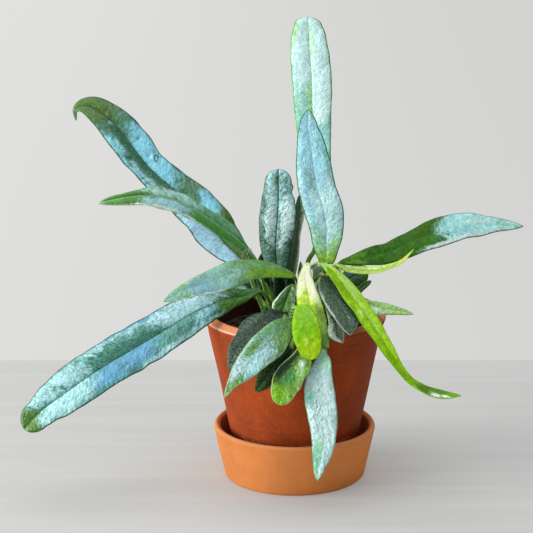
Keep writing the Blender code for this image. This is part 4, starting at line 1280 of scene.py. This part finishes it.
def mixing_factors(shares):
    """The shares as the factors of a chain of mixes: green, then each coating over all those before it."""
    total = shares["green"].copy()
    factors = {}
    for coating in COATINGS:
        total += shares[coating]
        factors[coating] = shares[coating] / np.maximum(total, 1e-6)
    return factors


def frond_piece(name, frond, seed, *nodes):
    """A frond's mesh, with what its material reads at each point."""
    frond = {**USUAL, **frond}
    blade = Blade(frond, seed)
    rings = blade.rings()
    count, size = rings.shape[:2]
    name = name.removeprefix("frond_") + "_frond"
    mesh = mesh_from(name, rings * MM, skin_faces(count, size))
    for coating, factor in mixing_factors(blade.coating_shares()).items():
        set_numbers(mesh, coating, there_and_back(factor, factor))
    for key, vectors in {"grain": blade.grain(), "leaf_place": blade.leaf_place()}.items():
        set_vectors(mesh, key, there_and_back(vectors, vectors))
    under = np.zeros((count, size))
    under[:, blade.part.size :] = 1
    set_numbers(mesh, "under", under)
    slot = frame_slot(*nodes) if nodes else "frond_green"
    add_object(name, mesh, leaf_material(name + "_skin", frond), *nodes, slot=slot)


def frame_slot(node):
    """The record's material slot of a CAD node."""
    return next(row["material_slot"] for row in frame["record"]["subparts"] if row["node"] == node)


def make_fronds():
    for number, (node, frond) in enumerate(FRONDS.items()):
        frond_piece(node, frond, 1.0 + number, node)
    for number, (name, frond) in enumerate(UNDERGROWTH.items()):
        frond_piece(name, frond, UNDERGROWTH_SEED + number)


# ---------------------------------------------------------------------------------------------
# Pot and saucer

TURNED_SIDES = 200
POT_FOOT_R = 0.041
POT_WALL = 0.0064
POT_FLOOR = 0.008
DRAIN_R = 0.008
GROOVE_DROP = 0.0115
GROOVE_HALF = 0.0016
GROOVE_DEPTH = 0.00045
SAUCER_FOOT_R = 0.0507
SAUCER_WALL = 0.005
SAUCER_FLOOR = 0.007
AXIS_R = 0.0002
ROUNDING = 0.0012
ROUNDING_STEPS = 4
OUTLINE_STEP = 0.0018

# cloud: the shares of the clay's own tone from its darkest to its palest cloud. sides: the shares of
# the tone from its left side to its right, painted light and shade that lighten the right side against
# the window's light from the left. stain: how strong the darker smears are.
# Each also has the colour of the painted shade inside it.
POT_TONES = {
    "clay": (158, 65, 23), "pale": (232, 152, 106), "dark": (92, 38, 20), "inner_shade": (62, 28, 18),
    "lime": (236, 198, 172), "stain": 0.28, "cloud": (0.88, 1.08), "sides": (1.0, 1.06),
}
SAUCER_TONES = {
    "clay": (223, 138, 74), "pale": (236, 158, 104), "dark": (120, 56, 28), "inner_shade": (104, 46, 24),
    "lime": (230, 206, 178), "stain": 0.04, "cloud": (0.95, 1.04), "sides": (0.79, 1.24),
}


def rounded(outline):
    """An open outline of (radius, z) points with each inner corner rounded off."""
    out = [np.array(outline[0])]
    for before, corner, after in zip(outline, outline[1:], outline[2:]):
        before, corner, after = map(np.array, (before, corner, after))
        back, forth = before - corner, after - corner
        reach = min(ROUNDING, np.linalg.norm(back) / 2.2, np.linalg.norm(forth) / 2.2)
        start = corner + back / np.linalg.norm(back) * reach
        end = corner + forth / np.linalg.norm(forth) * reach
        for t in np.linspace(0, 1, ROUNDING_STEPS):
            out.append((1 - t) ** 2 * start + 2 * t * (1 - t) * corner + t**2 * end)
    out.append(np.array(outline[-1]))
    return out


def dense(outline):
    """The outline with points added so that none lie further apart than OUTLINE_STEP."""
    out = []
    for a, b in zip(outline, outline[1:]):
        pieces = max(1, math.ceil(np.linalg.norm(np.array(b) - np.array(a)) / OUTLINE_STEP))
        out += [np.array(a) + (np.array(b) - np.array(a)) * i / pieces for i in range(pieces)]
    out.append(np.array(outline[-1]))
    return np.array(out)


def wobble(angles, z):
    """A hand-thrown wall's slow unevenness."""
    return 0.00018 * np.sin(2 * angles + 60 * z) + 0.00012 * np.sin(3 * angles - 90 * z + 1.3)


def thrown_piece(name, outline, tone, node, slot, closed, attributes):
    """An outline (radius, z) turned about Z, its walls a little uneven."""
    angles = np.arange(TURNED_SIDES) * 2 * math.pi / TURNED_SIDES
    even, z = outline[:, 0][:, None], outline[:, 1][:, None]
    radius = np.where(even < 2 * AXIS_R, even, even + wobble(angles[None, :], z))
    mesh = mesh_from(name, turned(radius, z, angles), skin_faces(len(outline), TURNED_SIDES, closed))
    for key, values in attributes.items():
        set_numbers(mesh, key, np.repeat(values, TURNED_SIDES))
    add_object(name, mesh, clay_material(name + "_clay", tone), node, slot=slot)


def make_pot():
    """A tapering pot with a groove under its rim and a drain hole.

    Its outline runs out under the foot, up the outside, over the rim and down the inside.
    """
    foot_z, top_z = POT_LOW.z, POT_HIGH.z
    rim_r = POT_HIGH.x
    slope = (rim_r - POT_FOOT_R) / (top_z - foot_z)

    def outer(z):
        return POT_FOOT_R + slope * (z - foot_z)

    groove_z = top_z - GROOVE_DROP
    outline = [
        (DRAIN_R, foot_z), (POT_FOOT_R - 0.002, foot_z), (outer(foot_z + 0.0022), foot_z + 0.0022),
        (outer(groove_z - GROOVE_HALF), groove_z - GROOVE_HALF), (outer(groove_z) - GROOVE_DEPTH, groove_z),
        (outer(groove_z + GROOVE_HALF), groove_z + GROOVE_HALF), (rim_r, top_z - 0.0040),
        (rim_r - 0.0005, top_z - 0.0030), (rim_r - 0.0042, top_z - 0.0002), (rim_r - 0.0052, top_z),
        (rim_r - POT_WALL, top_z - 0.0012), (rim_r - POT_WALL - 0.0006, top_z - 0.0034),
        (outer(foot_z + POT_FLOOR + 0.003) - POT_WALL, foot_z + POT_FLOOR + 0.003),
        (outer(foot_z + POT_FLOOR) - POT_WALL - 0.003, foot_z + POT_FLOOR),
        (DRAIN_R, foot_z + POT_FLOOR),
    ]
    outline = dense(rounded(outline))
    radius, z = outline.T
    outside = smoothstep(radius - outer(z), -0.0035, -0.0015)
    lip = smoothstep(z, top_z - 0.0036, top_z - 0.0026)
    attributes = {
        "edge": lip,
        "lime": 1.1 * bell(z - (top_z - 0.0037), 0.0009) * outside,
        "salts": 0.65 * bell(z - SAUCER_HIGH.z + 0.0032, 0.0018) * outside,
        # Painted shade inside the pot, below its lip.
        "inner_shade": (1 - outside) * (1 - lip),
    }
    thrown_piece("terracotta_pot", outline, POT_TONES, "pot", "pot_clay", True, attributes)


def make_saucer():
    """A deep round saucer with a rolled rim; its outline runs as the pot's does."""
    top_z, rim_r = SAUCER_HIGH.z, SAUCER_HIGH.x
    foot_r, inner_r = SAUCER_FOOT_R, SAUCER_FOOT_R - SAUCER_WALL
    outline = [
        (AXIS_R, 0), (foot_r - 0.0015, 0), (foot_r, 0.0015), (rim_r - 0.0006, top_z - 0.0050),
        (rim_r, top_z - 0.0022), (rim_r - 0.0012, top_z - 0.0003), (rim_r - 0.0026, top_z),
        (rim_r - SAUCER_WALL + 0.0008, top_z - 0.0010), (rim_r - SAUCER_WALL, top_z - 0.0032),
        (inner_r + 0.0004, SAUCER_FLOOR + 0.002), (inner_r - 0.0016, SAUCER_FLOOR), (AXIS_R, SAUCER_FLOOR),
    ]
    outline = dense(rounded(outline))
    radius, z = outline.T
    inside = smoothstep(foot_r + (rim_r - foot_r) * z / top_z - radius, 0.002, 0.004) * (z > 0.001)
    lip = smoothstep(z, top_z - 0.0026, top_z - 0.0008)
    attributes = {
        "edge": lip,
        "lime": 0.5 * bell(radius - (rim_r - 0.0036), 0.0009) * lip,
        # Painted shade inside the saucer, below its lip.
        "inner_shade": 0.55 * inside * (1 - lip),
    }
    thrown_piece("terracotta_saucer", outline, SAUCER_TONES, "saucer", "saucer_clay", False, attributes)


# ---------------------------------------------------------------------------------------------
# Soil and rhizome

SOIL_RINGS = 46
SOIL_SIDES = 120
SOIL_FOOT_R = 0.033
SOIL_FOOT_RINGS = 5
SOIL_TOP = SOIL_HIGH.z - 0.0004
SOIL_SHOULDER = 0.0016
SOIL_ROUGH = ((0.0009, 4.0, 0.0), (0.0006, 1.8, 5.0))
SOIL_SUNK = 0.0005
SCATTER_SEED = 7
CHIPS, CHIPS_SEED = 300, 11
CHIP_LONG = (0.0028, 0.0072)
CHIP_WIDE_SHARE = (0.45, 0.8)
CHIP_THICK = (0.0012, 0.0022)
CHIP_LIFT = (0.0002, 0.0010)
CHIPS_CLEAR = 0.005
GRAINS, GRAINS_SEED = 60, 13
GRAIN_LONG = (0.0012, 0.0026)
GRAIN_WIDE_SHARE, GRAIN_THICK_SHARE = 0.85, 0.8
GRAIN_LIFT = 0.0006
GRAINS_CLEAR = 0.004
TILT_MOST = 0.35
FLAT_SHARE = 0.4
STONE_ROUGH = 0.28


def stone(unit, long, wide, thick, turn, tilt):
    """A rough ball's points squeezed to size, flattened, tilted and turned."""
    body = unit * (long / 2, wide / 2, thick / 2)
    body[:, 2] = np.clip(body[:, 2], -thick * FLAT_SHARE, thick * FLAT_SHARE)
    body[:, 2] += body[:, 0] * math.sin(tilt)
    x, y, z = body.T
    c, s = math.cos(turn), math.sin(turn)
    return np.stack([x * c - y * s, x * s + y * c, z], axis=1)


def lumps(name, finish, places, seed):
    """Loose pieces, each (x, y, z, long, wide, thick, turn), as one object of small closed stones."""
    rng = random.Random(seed)
    shape = bmesh.new()
    bmesh.ops.create_icosphere(shape, subdivisions=2, radius=1)
    unit = np.array([v.co[:] for v in shape.verts])
    triangles = np.array([[v.index for v in f.verts] for f in shape.faces])
    shape.free()
    points, faces = [], []
    for number, (x, y, z, *size, turn) in enumerate(places):
        rough = 1 + STONE_ROUGH * noise_at(unit, 0.8, number * 3.1)
        faces += (triangles + number * len(unit)).tolist()
        tilt = rng.uniform(-TILT_MOST, TILT_MOST)
        points.append(stone(unit * rough[:, None], *size, turn, tilt) + (x, y, z))
    mesh = mesh_from(name, np.concatenate(points), faces)
    add_object(name, mesh, finish, slot="potting_mix")


def spot(rng, radius):
    """A random (x, y) within the radius."""
    reach = radius * math.sqrt(rng.random())
    angle = rng.uniform(0, 2 * math.pi)
    return reach * math.cos(angle), reach * math.sin(angle)


def bark_chip(rng):
    x, y = spot(rng, SOIL_HIGH.x - CHIPS_CLEAR)
    long = rng.uniform(*CHIP_LONG)
    z = SOIL_TOP + rng.uniform(*CHIP_LIFT)
    wide = long * rng.uniform(*CHIP_WIDE_SHARE)
    thick = rng.uniform(*CHIP_THICK)
    return x, y, z, long, wide, thick, rng.uniform(0, math.pi)


def perlite_grain(rng):
    x, y = spot(rng, SOIL_HIGH.x - GRAINS_CLEAR)
    long = rng.uniform(*GRAIN_LONG)
    wide, thick = long * GRAIN_WIDE_SHARE, long * GRAIN_THICK_SHARE
    return x, y, SOIL_TOP + GRAIN_LIFT, long, wide, thick, rng.uniform(0, math.pi)


def soil_body():
    """A plug of potting mix that fills the pot, its top rough away from the wall."""
    rim_r = SOIL_HIGH.x
    foot = [SOIL_FOOT_R * (i + 0.02) / (SOIL_FOOT_RINGS - 1) for i in range(SOIL_FOOT_RINGS)]
    top = [rim_r * (1 - i / SOIL_RINGS) + AXIS_R for i in range(1, SOIL_RINGS + 1)]
    radius = np.array([*foot, rim_r, *top])[:, None]
    heights = [SOIL_LOW.z] * len(foot) + [SOIL_TOP - SOIL_SHOULDER] + [SOIL_TOP] * len(top)
    angles = np.arange(SOIL_SIDES) * 2 * math.pi / SOIL_SIDES
    points = turned(radius, np.array(heights)[:, None], angles)
    rough = roughened(0, points / MM, SOIL_ROUGH) - SOIL_SUNK
    loose = np.arange(len(radius))[:, None] > SOIL_FOOT_RINGS
    points[..., 2] += np.where(loose, rough, 0) * smoothstep(rim_r - radius, 0.0, 0.004)
    mesh = mesh_from("potting_soil", points, skin_faces(len(radius), SOIL_SIDES))
    add_object("potting_soil", mesh, soil_material(), "soil", slot="potting_mix")


def make_soil():
    """Potting mix, strewn with chips of bark and grains of perlite."""
    soil_body()
    rng = random.Random(SCATTER_SEED)
    chips = [bark_chip(rng) for _ in range(CHIPS)]
    grains = [perlite_grain(rng) for _ in range(GRAINS)]
    lumps("bark_chips", bark_material("bark", (26, 17, 12), (74, 50, 34)), chips, CHIPS_SEED)
    perlite = bark_material("perlite", (178, 172, 160), (226, 222, 212))
    lumps("perlite_grains", perlite, grains, GRAINS_SEED)


# The creeping stems in plan: points (x, y) of each.
RHIZOMES = [
    [(-25, -2), (-16, 1), (-8, 3), (0, 4), (9, 3), (17, 4), (25, 5)],
    [(-8, 3), (-7, -4), (-6, -12), (-4, -24)],
    [(9, 3), (8, -5), (8, -14), (6, -25)],
    [(-2, 4), (-3, 9), (-5, 16), (-7, 25)],
    [(6, 4), (7, 9), (9, 18)],
]
RHIZOME_R_MM = 5.0
RHIZOME_SIDES = 20
RHIZOME_STEPS = 8
RHIZOME_TAPER_STEPS = 6
END_SHARE, GROWN_SHARE = 0.55, 0.45
SKIN_SHARE = 0.97
STUMP_R_MM = 1.9
STUMP_FOOT_SHARE = 1.35
STUMP_SIDES = 12
STUMP_RINGS = 6
FUSE_SIZE = 0.00055
RHIZOME_ROUGH = 0.00035
SCALES, SCALES_SEED = 900, 23
SCALE_LONG = (0.0016, 0.0034)
SCALE_HALF = (0.0003, 0.0006)
SCALE_LIFT = (0.10, 0.45)
SCALE_DROOP = 0.12
SCALE_THICK_ABOVE = 0.00018
SCALE_THICK_BELOW = 0.00008

# Stipes whose blades have gone: the points (x, y, z) of each, from the rhizome to the cut end.
OLD_STIPES = [
    [(7.8, -13, 116), (9.2, -11.8, 134), (12.6, -9, 146), (18, -8, 151), (20, -8, 150)],
    [(-10, 8, 116), (-16, 10.5, 130), (-22, 12.6, 139)],
    [(3, 12, 116), (6, 15, 128), (11, 17, 137)],
]
OLD_STIPE_R_MM = 1.5
OLD_STIPE_SIDES = 14
OLD_STIPE_STEPS = 10
CUT_ROUNDING_MM = 0.8
SCAR_MM = (1.5, 3.0)


def tube(path, radii, sides):
    """The points and faces of a capped tube along a path."""
    angles = [2 * math.pi * i / sides for i in range(sides)]
    rings = []
    for centre, direction, radius in zip(path, unit_rows(np.gradient(path, axis=0)), radii):
        turn = Vector(direction).to_track_quat("Z", "Y")
        ring = [turn @ Vector((radius * math.cos(a), radius * math.sin(a), 0)) for a in angles]
        rings.append([centre + np.array(point) for point in ring])
    return np.array(rings), skin_faces(len(path), sides)


def rhizome_tubes():
    """The creeping stems, narrowed at their ends, and a tapering stump under each frond."""
    z = RHIZOME_LOW.z / MM + RHIZOME_R_MM
    top = RHIZOME_HIGH.z / MM
    for plan in RHIZOMES:
        path = catmull_rom([(x, y, z) for x, y in plan], RHIZOME_STEPS)
        from_end = np.minimum(np.arange(len(path)), np.arange(len(path))[::-1])
        grown = END_SHARE + GROWN_SHARE * smoothstep(from_end, 0, RHIZOME_TAPER_STEPS)
        radii = RHIZOME_R_MM * grown * SKIN_SHARE
        yield tube(path, radii, RHIZOME_SIDES)
    for x, y in (frond["foot"] for frond in FRONDS.values()):
        path = np.linspace((x, y, z - 1), (x, y, top), STUMP_RINGS)
        radii = np.linspace(STUMP_FOOT_SHARE, 1.0, STUMP_RINGS) * STUMP_R_MM
        yield tube(path, radii, STUMP_SIDES)


def fused(made):
    """The object's mesh with its overlapping tubes made one skin."""
    remesh = made.modifiers.new("fuse", "REMESH")
    remesh.mode = "VOXEL"
    remesh.voxel_size = FUSE_SIZE
    remesh.use_smooth_shade = True
    graph = bpy.context.evaluated_depsgraph_get()
    mesh = bpy.data.meshes.new_from_object(made.evaluated_get(graph))
    made.modifiers.clear()
    return mesh


def read_vectors(vertices, key):
    values = np.empty(len(vertices) * 3)
    vertices.foreach_get(key, values)
    return values.reshape(-1, 3)


def make_rhizome():
    """Creeping stems with stumps under the stipes, fused and roughened, under a coat of brown scales."""
    joined = bmesh.new()
    for points, faces in rhizome_tubes():
        corners = [joined.verts.new(p * MM) for p in points.reshape(-1, 3)]
        for face in faces:
            joined.faces.new([corners[i] for i in face])
    bmesh.ops.recalc_face_normals(joined, faces=joined.faces)
    mesh = bpy.data.meshes.new("creeping_rhizome")
    joined.to_mesh(mesh)
    joined.free()
    skin = bark_material("rhizome_skin", (66, 44, 26), (128, 96, 56))
    made = add_object("creeping_rhizome", mesh, skin, "rhizome", slot="rhizome_scales")
    made.data = fused(made)
    vertices = made.data.vertices
    points, normals = read_vectors(vertices, "co"), read_vectors(vertices, "normal")
    below_stipes = smoothstep(RHIZOME_HIGH.z - points[:, 2], 0.0, 0.001)
    rough = RHIZOME_ROUGH * noise_at(points / MM, 2.6, 0.0) * below_stipes
    vertices.foreach_set("co", (points + normals * rough[:, None]).ravel())
    made.data.update()
    make_scales(points, normals)


def scale_corners(rng, root, out):
    """One scale's root, its two sides, its upper and lower faces, and its tip."""
    lie = out.cross(Vector((rng.uniform(-1, 1), rng.uniform(-1, 1), rng.uniform(-0.6, 0.6))))
    lie.normalize()
    across = out.cross(lie)
    long, half = rng.uniform(*SCALE_LONG), rng.uniform(*SCALE_HALF)
    direction = (lie + out * rng.uniform(*SCALE_LIFT)).normalized()
    start = root + out * 0.00005
    middle = start + direction * long * 0.45 + out * 0.0001
    tip = start + direction * long - out * long * SCALE_DROOP
    sides = [middle + across * half, middle - across * half]
    return [start, *sides, middle + out * SCALE_THICK_ABOVE, middle - out * SCALE_THICK_BELOW, tip]


def make_scales(points, normals):
    """Narrow brown scales that lie along the rhizome, each a thin closed sliver."""
    rng = random.Random(SCALES_SEED)
    upper = [i for i in range(len(points)) if normals[i][2] > -0.3]
    corners, faces = [], []
    for _ in range(SCALES):
        i = rng.choice(upper)
        first = len(corners)
        corners += scale_corners(rng, Vector(points[i]), Vector(normals[i]))
        for a, b in ((1, 3), (3, 2), (2, 4), (4, 1)):
            faces += [(first, first + a, first + b), (first + 5, first + b, first + a)]
    mesh = mesh_from("rhizome_scales", [c[:] for c in corners], faces)
    add_object("rhizome_scales", mesh, bark_material("scales", (86, 56, 30), (168, 124, 74)),
               slot="rhizome_scales")


def make_old_stipes():
    """Bare stipes, rounded and scarred at the cut end."""
    finish = old_stipe_material()
    for number, row in enumerate(OLD_STIPES, 1):
        path = catmull_rom(row, OLD_STIPE_STEPS)
        from_end = np.linalg.norm(path - path[-1], axis=1)
        radii = OLD_STIPE_R_MM * np.sqrt(np.clip(from_end / CUT_ROUNDING_MM, 0.15, 1))
        points, faces = tube(path, radii, OLD_STIPE_SIDES)
        name = f"old_stipe_{number}"
        mesh = mesh_from(name, points * MM, faces)
        set_numbers(mesh, "cut", np.repeat(1 - smoothstep(from_end, *SCAR_MM), OLD_STIPE_SIDES))
        add_object(name, mesh, finish, slot="frond_green")


# ---------------------------------------------------------------------------------------------
# Stage, light and camera

CAMERA_PLACE = (-0.0204, -1.5437, 0.5756)
CAMERA_DOWN = 15.245
LENS_MM = 152.05
SENSOR_MM = 36
TABLE_GLOW = 0.33
WALL_Y, EDGE_BLUR = 0.268, 0.002
STAGE = 6.0
TABLE_LEFT = -1.7
TABLE_LOW, TABLE_HIGH = (204, 205, 203), (209, 209, 207)
# Painted shade: the table darkens to the left, towards the window lamp.
TABLE_PAINTED_SHADE = (-1.5, -0.35, 0.3, 1.0)
# Painted light: the wall's glow fades from left to right as the window's light would.
WALL_LEFT, WALL_RIGHT = (225, 225, 223), (211, 211, 209)
WALL_SPAN = (-0.5, 0.4)
BACKDROP = (219, 219, 217)
AMBIENT_COLOUR = (250, 252, 255)
AMBIENT = 0.27
LIGHTS_AIM = (0, 0, 0.14)
LIGHTS = {
    "window": {"place": (-1.9, -0.5, 0.44), "size": (1.6, 0.75), "watts": 52.0, "colour": (1.0, 0.99, 0.97)},
    "sky": {"place": (-0.3, 0.0, 2.1), "size": (1.8, 1.8), "watts": 27.5, "colour": (0.97, 0.99, 1.0)},
}


def table_and_wall():
    """Dull pale paint, with painted shade towards the window lamp at the left, which the camera sees glow a
    little; past WALL_Y it sees only a glow, painted to fade from left to right with the window's light.
    """
    g = material_graph("floor_paint")
    place = g.place()
    x, y, _ = g.parts(place)
    streak = g.noise(g.stretched(place, 2.5, 60.0, 1.0), 1.0, detail=4.0)
    table = g.mix(g.step(streak, 0.35, 0.65), srgb(TABLE_LOW), srgb(TABLE_HIGH))
    # Painted shade: darker to the left, against the window lamp's pool of light.
    table = g.scaled(table, g.step(x, *TABLE_PAINTED_SHADE))
    g.finish(table, 0.9, Specular_IOR_Level=0.1)
    # Painted light: the wall's glow goes from lighter at the left to darker at the right.
    wall = g.mix(g.step(x, *WALL_SPAN), srgb(WALL_LEFT), srgb(WALL_RIGHT))
    beyond = g.step(y, WALL_Y - EDGE_BLUR, WALL_Y + EDGE_BLUR)
    glow = g.add("Emission")
    g.put(glow.inputs["Color"], g.mix(beyond, table, wall))
    seen = g.add("LightPath").outputs["Is Camera Ray"]
    share = g.times(seen, g.step(beyond, 0.0, 1.0, TABLE_GLOW, 1.0))
    g.put(g.nodes["Material Output"].inputs["Surface"], g.blend(share, g.shader, glow))
    return g.owner


def make_stage():
    """A pale table; past its far edge the camera sees a pale wall, its glow painted lighter at the left as
    the window's light falls off to the right.
    """
    mesh = bpy.data.meshes.new("floor")
    corners = [(TABLE_LEFT, -STAGE, 0), (STAGE, -STAGE, 0), (STAGE, STAGE, 0), (TABLE_LEFT, STAGE, 0)]
    mesh.from_pydata(corners, [], [(0, 1, 2, 3)])
    mesh.materials.append(table_and_wall())
    floor = bpy.data.objects.new("floor", mesh)
    bpy.context.scene.collection.objects.link(floor)


def make_world():
    """Soft even light; the camera and gloss see a pale backdrop."""
    world = bpy.data.worlds.new("studio")
    bpy.context.scene.world = world
    g = Graph(world)
    g.nodes.clear()
    ambient, backdrop = g.add("Background"), g.add("Background")
    g.put_all(ambient, {"Color": srgb(AMBIENT_COLOUR), "Strength": AMBIENT})
    g.put(backdrop.inputs["Color"], srgb(BACKDROP))
    rays = g.add("LightPath").outputs
    seen = g.math("MAXIMUM", rays["Is Camera Ray"], rays["Is Glossy Ray"])
    g.put(g.add("OutputWorld").inputs["Surface"], g.blend(seen, ambient, backdrop))


def make_lights():
    """A broad window to the left, and a softer sky above."""
    for name, row in LIGHTS.items():
        light = bpy.data.lights.new(name, "AREA")
        light.shape = "RECTANGLE"
        light.size, light.size_y = row["size"]
        light.energy = row["watts"]
        light.color = row["colour"]
        made = bpy.data.objects.new(name, light)
        made.location = row["place"]
        aim = Vector(LIGHTS_AIM) - Vector(row["place"])
        made.rotation_euler = aim.to_track_quat("-Z", "Y").to_euler()
        bpy.context.scene.collection.objects.link(made)


def make_camera():
    lens = bpy.data.cameras.new("camera")
    lens.lens = LENS_MM
    lens.sensor_width = SENSOR_MM
    camera = bpy.data.objects.new("camera", lens)
    camera.location = CAMERA_PLACE
    camera.rotation_euler = (math.radians(90 - CAMERA_DOWN), 0, 0)
    bpy.context.scene.collection.objects.link(camera)
    bpy.context.scene.camera = camera


make_pot()
make_saucer()
make_soil()
make_rhizome()
make_old_stipes()
make_fronds()
make_stage()
make_world()
make_lights()
make_camera()
bpy.context.scene.view_settings.view_transform = "Standard"
